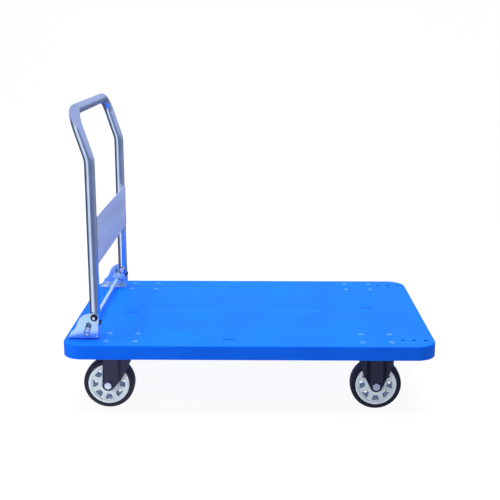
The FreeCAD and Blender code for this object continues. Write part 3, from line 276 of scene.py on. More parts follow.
def speckled_finish(name, low, high, metallic=0.0, rough=(0.4, 0.5), cloud=30.0, grain=900.0,
                    relief=0.00002, stretch=(1, 1, 1)):
    """Surface whose colour and roughness wander between two values on cloudy noise.

    cloud and grain are per metre, relief is the height of the fine grain in metres, and stretch
    pulls both patterns out along an axis."""
    material = bpy.data.materials.new(name)
    material.use_nodes = True
    nodes = material.node_tree.nodes
    links = material.node_tree.links
    shader = nodes["Principled BSDF"]
    shader.inputs["Metallic"].default_value = metallic
    place = nodes.new("ShaderNodeTexCoord")
    place.name = "place"
    pull = nodes.new("ShaderNodeMapping")
    pull.name = "pull"
    pull.inputs["Scale"].default_value = stretch
    clouds = nodes.new("ShaderNodeTexNoise")
    clouds.inputs["Scale"].default_value = cloud
    clouds.inputs["Detail"].default_value = 5
    tone = nodes.new("ShaderNodeValToRGB")
    tone.name = "tone"
    for stop, share, colour in zip(tone.color_ramp.elements, CLOUD_SPAN, (low, high)):
        stop.position = share
        stop.color = (*colour, 1)
    dull = nodes.new("ShaderNodeMapRange")
    dull.name = "dull"
    dull.inputs["From Min"].default_value, dull.inputs["From Max"].default_value = CLOUD_SPAN
    dull.inputs["To Min"].default_value, dull.inputs["To Max"].default_value = rough
    skin = nodes.new("ShaderNodeTexNoise")
    skin.inputs["Scale"].default_value = grain
    skin.inputs["Detail"].default_value = 3
    bump = nodes.new("ShaderNodeBump")
    bump.name = "bump"
    bump.inputs["Strength"].default_value = 0.6
    bump.inputs["Distance"].default_value = relief
    links.new(place.outputs["Object"], pull.inputs["Vector"])
    links.new(pull.outputs["Vector"], clouds.inputs["Vector"])
    links.new(pull.outputs["Vector"], skin.inputs["Vector"])
    links.new(clouds.outputs["Fac"], tone.inputs["Fac"])
    links.new(clouds.outputs["Fac"], dull.inputs["Value"])
    links.new(tone.outputs["Color"], shader.inputs["Base Color"])
    links.new(dull.outputs["Result"], shader.inputs["Roughness"])
    links.new(skin.outputs["Fac"], bump.inputs["Height"])
    links.new(bump.outputs["Normal"], shader.inputs["Normal"])
    return material


def overlaid(material, mask, colour):
    """Lay a second colour over a finish's own where mask is high."""
    nodes = material.node_tree.nodes
    links = material.node_tree.links
    shader = nodes["Principled BSDF"]
    below = shader.inputs["Base Color"].links[0].from_socket
    mixed = nodes.new("ShaderNodeMix")
    mixed.data_type = "RGBA"
    mixed.inputs["B"].default_value = colour
    links.new(mask, mixed.inputs["Factor"])
    links.new(below, mixed.inputs["A"])
    links.new(mixed.outputs["Result"], shader.inputs["Base Color"])


def noise_mask(material, scale, low, high, strength, stretch=(1, 1, 1), turn=0.0):
    """Mask from stretched noise: 0 below low, strength above high."""
    nodes = material.node_tree.nodes
    links = material.node_tree.links
    pull = nodes.new("ShaderNodeMapping")
    pull.inputs["Scale"].default_value = stretch
    pull.inputs["Rotation"].default_value = (0, 0, turn)
    noise = nodes.new("ShaderNodeTexNoise")
    noise.inputs["Scale"].default_value = scale
    noise.inputs["Detail"].default_value = 8
    noise.inputs["Roughness"].default_value = 0.72
    pick = nodes.new("ShaderNodeMapRange")
    pick.inputs["From Min"].default_value = low
    pick.inputs["From Max"].default_value = high
    pick.inputs["To Max"].default_value = strength
    links.new(nodes["place"].outputs["Object"], pull.inputs["Vector"])
    links.new(pull.outputs["Vector"], noise.inputs["Vector"])
    links.new(noise.outputs["Fac"], pick.inputs["Value"])
    return pick.outputs["Result"]


def deck_plastic():
    """Blue moulding: fine grain, long faint drag scuffs two ways, and short ones across them."""
    material = speckled_finish("deck_blue", DECK_BLUE_DEEP, DECK_BLUE_LIGHT, rough=(0.42, 0.54),
                               cloud=7.0, grain=1400.0, relief=0.00004)
    shader = material.node_tree.nodes["Principled BSDF"]
    shader.inputs["IOR"].default_value = 1.49
    shader.inputs["Specular IOR Level"].default_value = 0.05
    along = noise_mask(material, scale=2.2, low=0.64, high=0.86, strength=0.45,
                       stretch=(6.0, 90.0, 60.0), turn=0.35)
    overlaid(material, along, DECK_SCUFF)
    across = noise_mask(material, scale=3.1, low=0.66, high=0.88, strength=0.35,
                        stretch=(70.0, 7.0, 60.0), turn=0.15)
    overlaid(material, across, DECK_SCUFF)
    return material


def rounded_copy(name, node, edge, material, steps=2):
    """A CAD node's own form: triangles merged, flat faces made whole, and sharp edges rounded."""
    mesh = frame["nodes"][node].data.copy()
    mesh.name = name
    form = bmesh.new()
    form.from_mesh(mesh)
    bmesh.ops.remove_doubles(form, verts=form.verts, dist=MERGE_REACH)
    bmesh.ops.dissolve_limit(form, angle_limit=FLAT_WITHIN, verts=form.verts, edges=form.edges)
    form.to_mesh(mesh)
    form.free()
    mesh.attributes.remove(mesh.attributes["custom_normal"])
    mesh.materials.clear()
    mesh.materials.append(material)
    mesh.shade_smooth()
    piece = linked(bpy.data.objects.new(name, mesh))
    rounding = piece.modifiers.new("rounded_edges", "BEVEL")
    rounding.width = edge
    rounding.segments = steps
    rounding.limit_method = "ANGLE"
    rounding.angle_limit = ROUNDED_PAST
    rounding.use_clamp_overlap = True
    even = piece.modifiers.new("even_shading", "WEIGHTED_NORMAL")
    even.keep_sharp = True
    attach(piece, frame["nodes"][node]["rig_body"])
    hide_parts(node)
    return piece


blue = deck_plastic()
rounded_copy("deck_moulding", "deck", DECK_EDGE, blue)


# ---------------------------------------------------------------------------- tread panels
# Four panels of low raised lozenges are moulded into the top, with plain strips between them.
# They stop the load from sliding; the lozenges fade out round the bolts and the caps.

LOZENGE_PITCH = 0.016
LOZENGE_ROW = 0.0165
LOZENGE_HALF_X = 0.0074
LOZENGE_HALF_Y = 0.0142
LOZENGE_HEIGHT = 0.0006
LOZENGE_STEEP = 2.2
TREAD_LIFT = 0.00012
TREAD_STEP = 0.0016
TREAD_TUCK = 0.0002
STRIP_HALF = 0.011
TREAD_END_X = 0.352
TREAD_EDGE_Y = 0.270
BORDER_CLEAR = 0.003
BORDER_FADE = 0.004
BOLT_CLEAR = 0.012
BOLT_FADE = 0.006
CAP_CLEAR = 0.0195
CAP_FADE = 0.005
CAP_SLACK = 0.0005


def solid_boxes(node):
    """Lowest and highest corner of each separate solid in a CAD node.

    Corners in one place get one number, and each number then spreads over its triangles, lowest
    first, until every solid holds a single number."""
    mesh = frame["nodes"][node].data
    spots = np.empty(3 * len(mesh.vertices))
    mesh.vertices.foreach_get("co", spots)
    spots, same = np.unique(spots.reshape(-1, 3).round(6), axis=0, return_inverse=True)
    corners = np.empty(3 * len(mesh.polygons), dtype=int)
    mesh.polygons.foreach_get("vertices", corners)
    triangles = same.ravel()[corners.reshape(-1, 3)]
    label = np.arange(len(spots))
    while True:
        lowest = label.copy()
        np.minimum.at(lowest, triangles, label[triangles].min(axis=1)[:, None])
        if np.array_equal(lowest, label):
            break
        label = lowest
    groups = [spots[label == which] for which in np.unique(label)]
    return np.array([(group.min(0), group.max(0)) for group in groups])


def solid_centres(node):
    """Middle of each separate solid in a CAD node."""
    return solid_boxes(node).mean(axis=1)


def smooth_step(value):
    """0 below 0, 1 above 1, with a soft start and finish between."""
    held = np.clip(value, 0, 1)
    return held * held * (3 - 2 * held)


def lozenge_height(x, y):
    """Height of a staggered field of lozenges: each falls off with |x| + |y| from its middle."""
    tallest = np.zeros_like(x)
    for stagger in (0, 1):
        across = (x / LOZENGE_PITCH + 0.5 * stagger) % 1 - 0.5
        along = (y / (2 * LOZENGE_ROW) + 0.5 * stagger) % 1 - 0.5
        fall = 1 - np.abs(across * LOZENGE_PITCH) / LOZENGE_HALF_X
        fall = fall - np.abs(along * 2 * LOZENGE_ROW) / LOZENGE_HALF_Y
        tallest = np.maximum(tallest, smooth_step(fall * LOZENGE_STEEP))
    return tallest


def grid_faces(rows, columns):
    """Corner numbers of the quads of a rows x columns grid of points."""
    corner = (np.arange(rows - 1)[:, None] * columns + np.arange(columns - 1)).ravel()
    return np.column_stack([corner, corner + columns, corner + columns + 1, corner + 1])


def tread_panel(name, x_low, x_high, y_low, y_high, bolts, caps):
    """Height field over one panel; its border turns down into the deck and it is open at the caps."""
    x, y = np.meshgrid(np.arange(x_low, x_high, TREAD_STEP),
                       np.arange(y_low, y_high, TREAD_STEP), indexing="ij")
    rim = np.minimum(np.minimum(x - x_low, x.max() - x), np.minimum(y - y_low, y.max() - y))
    room = smooth_step((rim - BORDER_CLEAR) / BORDER_FADE)
    away = np.full_like(x, 1.0)
    for spot in bolts:
        room = room * smooth_step((np.hypot(x - spot[0], y - spot[1]) - BOLT_CLEAR) / BOLT_FADE)
    for spot in caps:
        away = np.minimum(away, np.hypot(x - spot[0], y - spot[1]))
    room = room * smooth_step((away - CAP_CLEAR) / CAP_FADE)
    z = DECK_TOP + TREAD_LIFT + LOZENGE_HEIGHT * lozenge_height(x, y) * room
    z = np.where((rim < TREAD_STEP / 2) | (away < CAP_CLEAR), DECK_TOP - TREAD_TUCK, z)
    faces = grid_faces(*x.shape)[:, ::-1]
    keep = away.ravel()[faces].max(axis=1) > CAP_CLEAR - CAP_SLACK
    points = np.stack([x, y, z], axis=-1).reshape(-1, 3)
    used, renumbered = np.unique(faces[keep], return_inverse=True)
    mesh = bpy.data.meshes.new(name)
    mesh.from_pydata(points[used].tolist(), [], renumbered.reshape(-1, 4).tolist())
    mesh.materials.append(blue)
    mesh.shade_smooth()
    panel = linked(bpy.data.objects.new(name, mesh))
    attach(panel, "deck_assembly")


bolt_spots = solid_centres("caster_bolts")
cap_spots = solid_centres("deck_plugs")
LENGTHWISE = (("rear", -TREAD_END_X, -STRIP_HALF), ("front", STRIP_HALF, TREAD_END_X))
SIDEWISE = (("right", -TREAD_EDGE_Y, -STRIP_HALF), ("left", STRIP_HALF, TREAD_EDGE_Y))
for end, x_low, x_high in LENGTHWISE:
    for side, y_low, y_high in SIDEWISE:
        tread_panel(f"tread_{end}_{side}", x_low, x_high, y_low, y_high, bolt_spots, cap_spots)


# ---------------------------------------------------------------------------- deck caps
# Four push-in caps of the same blue plastic close the moulding's larger holes.
# Each is a thin flange with a raised rim, a shallow dish and a gate mark, on a hollow stem.
# The outer wall of the rim, where it stands proud of the deck, is painted a darker blue as shade.

FINE_EDGE = 0.0002
CAP_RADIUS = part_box("deck_plugs")[1].y - cap_spots[:, 1].max()
CAP_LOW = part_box("deck_plugs")[0].z
CAP_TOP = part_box("deck_plugs")[1].z


def turned(outline, steps):
    """Closed outline of (radius, height) points carried round the height axis: rows x steps x 3."""
    radius, height = np.array(outline, dtype=float).T
    angle = np.linspace(0, 2 * math.pi, steps, endpoint=False)
    return np.stack([radius[:, None] * np.cos(angle), radius[:, None] * np.sin(angle),
                     np.broadcast_to(height[:, None], (len(radius), steps))], axis=-1)


def upright(form, spot, base):
    """Set a form with its height along Z at a spot, standing on the level base."""
    return form + np.array([spot[0], spot[1], base])


def sideways(form, spot, base, side):
    """Lay a form on its side: height runs along Y from base, towards +Y or -Y by side."""
    x = spot[0] + form[..., 0]
    z = spot[1] + form[..., 1]
    return np.stack([x, base + side * form[..., 2], z], axis=-1)


def closed_mesh(name, forms, material):
    """One mesh of closed outlines carried round an axis, with poles welded and faces turned outwards."""
    points = []
    faces = []
    start = 0
    for form in forms:
        rows, steps = form.shape[:2]
        row = np.arange(rows)[:, None]
        step = np.arange(steps)[None, :]
        here = row * steps + step
        right = row * steps + (step + 1) % steps
        above = ((row + 1) % rows) * steps + step
        corner = ((row + 1) % rows) * steps + (step + 1) % steps
        faces.append(start + np.stack([here, right, corner, above], axis=-1).reshape(-1, 4))
        points.append(form.reshape(-1, 3))
        start += rows * steps
    mesh = bpy.data.meshes.new(name)
    mesh.from_pydata(np.vstack(points).tolist(), [], np.vstack(faces).tolist())
    skin = bmesh.new()
    skin.from_mesh(mesh)
    bmesh.ops.remove_doubles(skin, verts=skin.verts, dist=1e-7)
    stray = [edge for edge in skin.edges if not edge.link_faces]
    bmesh.ops.delete(skin, geom=stray, context="EDGES")
    bmesh.ops.recalc_face_normals(skin, faces=skin.faces)
    skin.to_mesh(mesh)
    skin.free()
    mesh.materials.append(material)
    mesh.shade_smooth()
    return mesh


def shown(name, mesh, body, nodes=(), sharp=math.radians(35)):
    """Put a finished mesh into the scene on its body, in place of the CAD nodes it stands for."""
    mesh.set_sharp_from_angle(angle=sharp)
    piece = linked(bpy.data.objects.new(name, mesh))
    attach(piece, body)
    if nodes:
        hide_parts(*nodes)


def shown_forms(name, forms, material, body, slot, *nodes, sharp=math.radians(35)):
    """Make one mesh of carried-round outlines and put it into the scene on its body."""
    shown(name, closed_mesh(name, forms, material), body, nodes, sharp)


# Darker blue painted on the caps' rim walls as shade.
RIM_SHADE_DEEP = (0.0008, 0.020, 0.260)
RIM_SHADE_LIGHT = (0.0012, 0.030, 0.360)
RIM_EASE = 0.0006
RIM_UPRIGHT = 0.8
GATE_R = 0.0012
GATE_DROP = 0.00025
DISH_DROP = 0.0006
STEM_RADIUS = CAP_RADIUS - 0.0024
STEM_WALL = 0.0016
FLANGE = 0.0032
cap_outline = [
    (0.0, CAP_TOP - GATE_DROP), (GATE_R, CAP_TOP - GATE_DROP),
    (GATE_R + FINE_EDGE, CAP_TOP - DISH_DROP), (CAP_RADIUS * 0.62, CAP_TOP - DISH_DROP),
    (CAP_RADIUS * 0.70, CAP_TOP - 0.0001), (CAP_RADIUS - 0.0006, CAP_TOP),
    (CAP_RADIUS - FINE_EDGE, CAP_TOP - 0.0001), (CAP_RADIUS, CAP_TOP - 0.0004),
    (CAP_RADIUS, CAP_TOP - FLANGE + FINE_EDGE), (CAP_RADIUS - FINE_EDGE, CAP_TOP - FLANGE),
    (STEM_RADIUS, CAP_TOP - FLANGE), (STEM_RADIUS, CAP_LOW + 0.0008),
    (STEM_RADIUS - 0.0005, CAP_LOW), (STEM_RADIUS - STEM_WALL, CAP_LOW),
    (STEM_RADIUS - STEM_WALL, CAP_TOP - FLANGE), (0.0, CAP_TOP - FLANGE),
]
cap_form = turned(cap_outline, 64)
caps = closed_mesh("deck_caps", [upright(cap_form, spot, 0.0) for spot in cap_spots], blue)
# Painted shade: the rim's outer wall takes a darker blue than the deck.
caps.materials.append(speckled_finish("cap_rim_painted_shade", RIM_SHADE_DEEP, RIM_SHADE_LIGHT, rough=(0.5, 0.6),
                                      cloud=60.0))
upward = np.empty(3 * len(caps.polygons))
middles = np.empty(3 * len(caps.polygons))
caps.polygons.foreach_get("normal", upward)
caps.polygons.foreach_get("center", middles)
middles = middles.reshape(-1, 3)
out = np.hypot(*(middles[:, None, :2] - cap_spots[None, :, :2]).transpose(2, 0, 1)).min(axis=1)
rim_wall = (out > CAP_RADIUS - RIM_EASE) & (np.abs(upward.reshape(-1, 3)[:, 2]) < RIM_UPRIGHT)
caps.polygons.foreach_set("material_index", rim_wall.astype(np.int32))
shown("deck_caps", caps, "deck_assembly", ["deck_plugs"])


# ---------------------------------------------------------------------------- caster bolts
# Sixteen M8 carriage bolts clamp the casters: low domes on the deck, lock washers and nuts below.
# Zinc with the cloudy spangle and fine scratches of tumbled fasteners; the domes get a blue tint that is
# a painted reflection of the blue deck.

ZINC_DEEP = (0.58, 0.62, 0.72)
ZINC_LIGHT = (0.80, 0.83, 0.90)
ZINC_SCRATCH = (0.92, 0.94, 1.0, 1)
DOME_REFLECTION_DEEP = (0.05, 0.24, 0.72)
DOME_REFLECTION_LIGHT = (0.11, 0.34, 0.88)
HEXAGON_LAND = 0.95


def bright_zinc(name, low, high, rough, metallic=0.65, relief=0.00001, scratches=0.55):
    """Tumbled zinc: cloudy spangle, a fine pitted skin, and hairline scratches that catch the light."""
    material = speckled_finish(name, low, high, metallic, rough, cloud=210.0, grain=2600.0, relief=relief)
    scratched = noise_mask(material, scale=40.0, low=0.60, high=0.74, strength=scratches,
                           stretch=(1.0, 14.0, 3.0), turn=0.6)
    overlaid(material, scratched, ZINC_SCRATCH)
    return material


zinc = bright_zinc("fastener_zinc", ZINC_DEEP, ZINC_LIGHT, (0.24, 0.40))
# The domes' blue tint is a painted reflection of the blue deck around them.
dome_deck_reflection = bright_zinc("zinc_dome_painted_reflection", DOME_REFLECTION_DEEP, DOME_REFLECTION_LIGHT, (0.34, 0.48), metallic=0.5)
rounded_copy("caster_bolt_set", "caster_bolts", FINE_EDGE, dome_deck_reflection)


def hexagon_reach(flats, steps):
    """Distance from the middle of a hexagon to its side at each of the steps round it."""
    angle = np.linspace(0, 2 * math.pi, steps, endpoint=False)
    return flats / 2 / np.cos((angle + math.pi / 6) % (math.pi / 3) - math.pi / 6)


def hexagon(flats, bore, height, steps=72, both_ends=True):
    """Nut or bolt head: a hexagon whose corners are turned off at 30 degrees, with an optional bore."""
    reach = hexagon_reach(flats, steps)
    angle = np.linspace(0, 2 * math.pi, steps, endpoint=False)
    land = flats / 2 * HEXAGON_LAND
    fall = (reach - land) * math.tan(math.radians(30))
    foot = fall if both_ends else np.full(steps, FINE_EDGE)
    flat = np.ones(steps)
    rows = [
        (bore * flat, 0 * flat), (land * flat, 0 * flat),
        (reach - FINE_EDGE, foot), (reach, foot + FINE_EDGE),
        (reach, height - fall - FINE_EDGE), (reach - FINE_EDGE, height - fall),
        (land * flat, height * flat), (bore * 1.12 * flat, height * flat),
        (bore * flat, (height - bore * 0.12) * flat),
    ]
    radius = np.array([row[0] for row in rows])
    level = np.array([row[1] for row in rows])
    return np.stack([radius * np.cos(angle), radius * np.sin(angle), level], axis=-1)


def washer(outer, bore, thick, steps=48):
    """Stamped washer: rounded on the side that the punch entered, sharp on the other."""
    ease = thick * 0.3
    return turned([(bore, 0.0), (outer - ease * 0.4, 0.0), (outer, ease * 0.4), (outer, thick - ease),
                   (outer - ease, thick), (bore + ease, thick), (bore, thick - ease)], steps)


def size_of(node, axis):
    """How far a CAD node reaches along one axis."""
    low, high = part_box(node)
    return high[axis] - low[axis]


M8_FLATS = 0.0130
M8_BORE = 0.0040
M8_NUT = size_of("caster_nuts", 2)
M8_WASHER_R = 0.0072
M8_WASHER = size_of("caster_washers", 2)


def clamping_sets(row):
    """The M8 nuts and washers that clamp one row of bolts from below the deck."""
    for kind, form, thick in (("nut", hexagon(M8_FLATS, M8_BORE, M8_NUT), M8_NUT),
                              ("washer", washer(M8_WASHER_R, M8_BORE, M8_WASHER), M8_WASHER)):
        node = f"{row}_{kind}s"
        forms = [upright(form, spot, spot[2] - thick / 2) for spot in solid_centres(node)]
        shown_forms(f"{row}_{kind}_set", forms, zinc, "deck_assembly", "zinc_fastener", node)


clamping_sets("caster")


# ---------------------------------------------------------------------------- swivel heads
# Stamped top plates with a pressed ball race, loose hard steel balls, and riveted king pins.
# The plates share the forks' black powder coat.

POWDER_DEEP = (0.010, 0.010, 0.036)
POWDER_LIGHT = (0.017, 0.017, 0.054)
POWDER_RUBBED = (0.10, 0.11, 0.16, 1)
SHEET_EDGE = 0.0006
BALL_STEPS = 14


def powder_coat():
    """Black powder coat: slow orange peel, a slight blue sheen painted into its colour, and grey rubbed
    specks.
    """
    material = speckled_finish("powder_black", POWDER_DEEP, POWDER_LIGHT, rough=(0.34, 0.48),
                               cloud=28.0, grain=620.0, relief=0.00007)
    material.node_tree.nodes["Principled BSDF"].inputs["Specular IOR Level"].default_value = 0.35
    rubbed = noise_mask(material, scale=55.0, low=0.68, high=0.80, strength=0.5, stretch=(1.0, 1.0, 2.2))
    overlaid(material, rubbed, POWDER_RUBBED)
    return material


coat = powder_coat()
rounded_copy("swivel_top_plates", "swivel_plates", SHEET_EDGE, coat)
rounded_copy("king_pin_rivets", "king_pins", SHEET_EDGE, zinc)

ground_steel = speckled_finish("ground_steel", (0.58, 0.59, 0.62), (0.72, 0.73, 0.76), metallic=1.0,
                               rough=(0.14, 0.24), cloud=160.0, grain=2200.0, relief=0.000006)


def ball(radius, steps):
    """Half circle of (radius, height) points closed on the axis, carried round it."""
    turn = np.linspace(-math.pi / 2, math.pi / 2, steps)
    outline = np.column_stack([radius * np.cos(turn), radius * np.sin(turn)])
    outline[[0, -1], 0] = 0.0
    return turned(outline, 2 * steps)


for side in ("left", "right"):
    node = f"rear_{side}_swivel_balls"
    race = ball(size_of(node, 2) / 2, BALL_STEPS)
    balls = [upright(race, spot, spot[2]) for spot in solid_centres(node)]
    shown_forms(f"{node}_hard", balls, ground_steel, f"rear_{side}_swivel", "bearing_steel", node)


# ---------------------------------------------------------------------------- forks
# Pressed steel legs with one raised rib each, folded from a crown or a bolted flange.
# Powder coated in black before the wheel goes in; the pressed edges are slightly rolled.

# Painted light on the legs: the rib's flanks are painted darker as shade, the outward flats lighter as
# sheen.
FLANK_LEAN = 0.25
FLANK_SHARE = 0.85
FLAT_FACING = 0.99
FLAT_SHARE = 0.35
FLAT_PAINTED_SHEEN = (0.030, 0.034, 0.062, 1)
FLANK_PAINTED_SHADE = (0.0010, 0.0014, 0.0050, 1)


def ribbed_coat(material):
    """Powder coat over a pressed rib, with painted sheen on the flats and painted shade on the rib's
    flanks.
    """
    nodes = material.node_tree.nodes
    for name, colour in (("flat", FLAT_PAINTED_SHEEN), ("flank", FLANK_PAINTED_SHADE)):
        side = nodes.new("ShaderNodeAttribute")
        side.attribute_name = name
        overlaid(material, side.outputs["Fac"], colour)
    return material


def mark_flanks(mesh):
    """Store on each face whether it leans along X, as a rib's flank does, or faces straight outwards."""
    normals = np.empty(3 * len(mesh.polygons))
    mesh.polygons.foreach_get("normal", normals)
    lean_x, out_y, up_z = np.abs(normals.reshape(-1, 3)).T
    flank = (lean_x > FLANK_LEAN) & (out_y > FLANK_LEAN) & (up_z < FLANK_LEAN)
    flat = out_y > FLAT_FACING
    for name, share in (("flank", FLANK_SHARE * flank), ("flat", FLAT_SHARE * flat)):
        mark = mesh.attributes.new(name, "FLOAT", "FACE")
        mark.data.foreach_set("value", share.astype(np.float32))


leg_coat = ribbed_coat(powder_coat())
forks = [rounded_copy("rigid_forks", "front_forks", SHEET_EDGE, leg_coat, steps=3)]
for side in ("left", "right"):
    forks.append(rounded_copy(f"swivel_fork_{side}", f"rear_{side}_fork", SHEET_EDGE, leg_coat,
                              steps=3))
for fork in forks:
    mark_flanks(fork.data)


# ---------------------------------------------------------------------------- wheels
# A light grey nylon centre with eight through pockets carries a solid black rubber tyre.
# Two ball bearings are pressed into its hub; the tread is dusty where it has rolled.

POCKET_EDGE = 0.0009
TYRE_STEPS = 180
SHOULDER_POINTS = 9
SHOULDER_R = 0.0070
TREAD_CROWN = 0.0004
PARTING_RISE = 0.00025
PARTING_HALF = 0.0006
DUST_REACH = 0.0026
DUST_FADE = 0.0022
WHEELS = [(f"{end}_{side}", f"{end}_{side}_wheel")
          for end in ("rear", "front") for side in ("left", "right")]


def wheel_plastic():
    """Light grey moulded nylon: flow clouds, a satin skin and darker grey grime in patches."""
    material = speckled_finish("wheel_grey", (0.58, 0.66, 0.73), (0.70, 0.78, 0.85), rough=(0.38, 0.52),
                               cloud=45.0, grain=1500.0, relief=0.00003)
    grime = noise_mask(material, scale=26.0, low=0.56, high=0.78, strength=0.5)
    overlaid(material, grime, (0.36, 0.41, 0.45, 1))
    return material


def tyre_rubber():
    """Black rubber: a fine moulded skin, and pale dust where the tread attribute says it has rolled."""
    material = speckled_finish("tyre_rubber", (0.008, 0.008, 0.020), (0.014, 0.014, 0.030),
                               rough=(0.42, 0.56), cloud=60.0, grain=1300.0, relief=0.00005)
    nodes = material.node_tree.nodes
    links = material.node_tree.links
    nodes["Principled BSDF"].inputs["Specular IOR Level"].default_value = 0.3
    rolled = nodes.new("ShaderNodeAttribute")
    rolled.attribute_name = "rolled"
    patchy = noise_mask(material, scale=90.0, low=0.35, high=0.65, strength=0.8)
    dust = nodes.new("ShaderNodeMath")
    dust.operation = "MULTIPLY"
    links.new(rolled.outputs["Fac"], dust.inputs[0])
    links.new(patchy, dust.inputs[1])
    overlaid(material, dust.outputs["Value"], (0.060, 0.058, 0.065, 1))
    return material


def tyre_outline(outer, inner, half):
    """Tyre section: crowned tread with a parting line, round shoulders, and sidewalls that lean in."""
    turn = np.linspace(0, math.pi / 2, SHOULDER_POINTS)
    across = half - SHOULDER_R
    tread = [(outer - TREAD_CROWN * (y / across) ** 2, y) for y in np.linspace(-across, across, 9)]
    tread[3:6] = [(outer - PARTING_RISE, -PARTING_HALF), (outer, 0.0),
                  (outer - PARTING_RISE, PARTING_HALF)]
    right = [(outer - TREAD_CROWN - SHOULDER_R * (1 - math.cos(t)), across + SHOULDER_R * math.sin(t))
             for t in turn]
    left = [(r, -y) for r, y in reversed(right)]
    foot = [(inner + 0.0022, half - 0.0002), (inner + 0.0010, half - 0.0007), (inner, half - 0.0007),
            (inner, -half + 0.0007), (inner + 0.0010, -half + 0.0007), (inner + 0.0022, -half + 0.0002)]
    return left + tread[1:-1] + right + foot


nylon_grey = wheel_plastic()
rubber = tyre_rubber()
for corner, body in WHEELS:
    rounded_copy(f"{corner}_wheel_centre", f"{corner}_wheel_core", POCKET_EDGE, nylon_grey,
                 steps=3)
    low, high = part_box(f"{corner}_tyre")
    hub = ((low.x + high.x) / 2, (low.z + high.z) / 2)
    middle = (low.y + high.y) / 2
    outer = (high.x - low.x) / 2
    inner = size_of(f"{corner}_wheel_core", 0) / 2
    section = tyre_outline(outer, inner, (high.y - low.y) / 2)
    ring = sideways(turned(section, TYRE_STEPS), hub, middle, 1)
    mesh = closed_mesh(f"{corner}_solid_tyre", [ring], rubber)
    spots = np.empty(3 * len(mesh.vertices))
    mesh.vertices.foreach_get("co", spots)
    spots = spots.reshape(-1, 3)
    reach = np.hypot(spots[:, 0] - hub[0], spots[:, 2] - hub[1])
    rolled = mesh.attributes.new("rolled", "FLOAT", "POINT")
    dusty = smooth_step((reach - outer + DUST_REACH) / DUST_FADE)
    rolled.data.foreach_set("value", dusty.astype(np.float32))
    shown(f"{corner}_solid_tyre", mesh, body, [f"{corner}_tyre"], sharp=math.radians(60))


# ---------------------------------------------------------------------------- hub bearings
# Shielded ball bearings pressed into both ends of each hub: ground rings with a thin pressed shield
# between them. Only the outer faces show, round the axle collar.

BEARING_R = size_of("front_left_bearings", 0) / 2
SLEEVE_R = 0.00705
BEARING_LENGTH = 0.010
RING_LAND = 0.0020
SHIELD_DROP = 0.0006


def bearing_outline():
    """Section of one bearing: outer ring, recessed shield with a pressed groove, inner ring."""
    end = BEARING_LENGTH
    ease = 0.0003
    dip = SHIELD_DROP
    outer_land = BEARING_R - RING_LAND
    inner_land = SLEEVE_R + RING_LAND
    groove = (outer_land + inner_land) / 2
    face = [(inner_land, end), (inner_land, end - dip), (groove - 0.001, end - dip),
            (groove, end - dip - 0.00025), (groove + 0.001, end - dip), (outer_land, end - dip),
            (outer_land, end)]
    back = [(radius, end - level) for radius, level in reversed(face)]
    return ([(SLEEVE_R, end - ease), (SLEEVE_R + ease, end)] + face
            + [(BEARING_R - ease, end), (BEARING_R, end - ease)]
            + [(BEARING_R, ease), (BEARING_R - ease, 0.0)] + back
            + [(SLEEVE_R + ease, 0.0), (SLEEVE_R, ease)])


bearing_form = turned(bearing_outline(), 64)
for corner, body in WHEELS:
    node = f"{corner}_bearings"
    rings = [sideways(bearing_form, (spot[0], spot[2]), spot[1] - BEARING_LENGTH / 2, 1)
             for spot in solid_centres(node)]
    shown_forms(f"{corner}_hub_bearings", rings, ground_steel, body, "bearing_steel", node)


# ---------------------------------------------------------------------------- axles
# An M10 bolt with its head outwards, a sleeve and collars that the bearings turn on, and a lock nut
# whose crimped collar keeps it from working loose. All bright zinc.

AXLE_FLATS = 0.0160
AXLE_R = 0.0050
AXLE_HEAD = 0.0064
THREAD_PITCH = 0.0015
THREAD_DEPTH = 0.0006
THREAD_LENGTH = 0.014
THREAD_RUNOUT = 0.001
AXLES = [("front_axle", "deck_assembly", "s"),
         ("rear_left_axle", "rear_left_swivel", ""), ("rear_right_axle", "rear_right_swivel", "")]


def threaded_bolt(flats, radius, head, length):
    """Bolt from the top of its head down: chamfered hexagon, plain shank, and grooves for the thread."""
    crests = np.arange(length - THREAD_LENGTH, length - THREAD_RUNOUT, THREAD_PITCH)
    shank = [(0.0, head - 0.001), (radius, head - 0.001)]
    for level in crests:
        shank += [(radius, head + level), (radius - THREAD_DEPTH, head + level + THREAD_PITCH / 2)]
    shank += [(radius - THREAD_DEPTH, head + length - 0.0004), (radius - 0.0010, head + length),
              (0.0, head + length)]
    cap = hexagon(flats, 0.0, head, both_ends=False)
    cap[..., 2] = head - cap[..., 2]
    return [cap, turned(shank, 32)]


def lock_nut(flats, bore, height):
    """Nut with a round crimped collar on its far end."""
    share = 0.72
    collar = [(bore, height * share - 0.0005), (flats * 0.44, height * share - 0.0005),
              (flats * 0.44, height * 0.90), (flats * 0.41, height * 0.98), (flats * 0.38, height),
              (bore * 1.1, height), (bore, height * 0.97)]
    return [hexagon(flats, bore, height * share), turned(collar, 48)]


def laid_along(node, shape, from_outside):
    """The shape, made for each solid's length, laid on its side where that solid of a CAD node lies.

    It starts at the solid's end away from the middle of the cart, or else at the end near it."""
    forms = []
    for low, high in solid_boxes(node):
        side = 1 if low[1] > 0 else -1
        hub = ((low[0] + high[0]) / 2, (low[2] + high[2]) / 2)
        start = high[1] if (side > 0) == from_outside else low[1]
        facing = -side if from_outside else side
        forms += [sideways(form, hub, start, facing) for form in shape(high[1] - low[1])]
    return forms


def axle_bolt(length):
    """M10 axle bolt of a whole length, head included."""
    return threaded_bolt(AXLE_FLATS, AXLE_R, AXLE_HEAD, length - AXLE_HEAD)


def axle_nut(length):
    """M10 lock nut."""
    return lock_nut(AXLE_FLATS, AXLE_R, length)


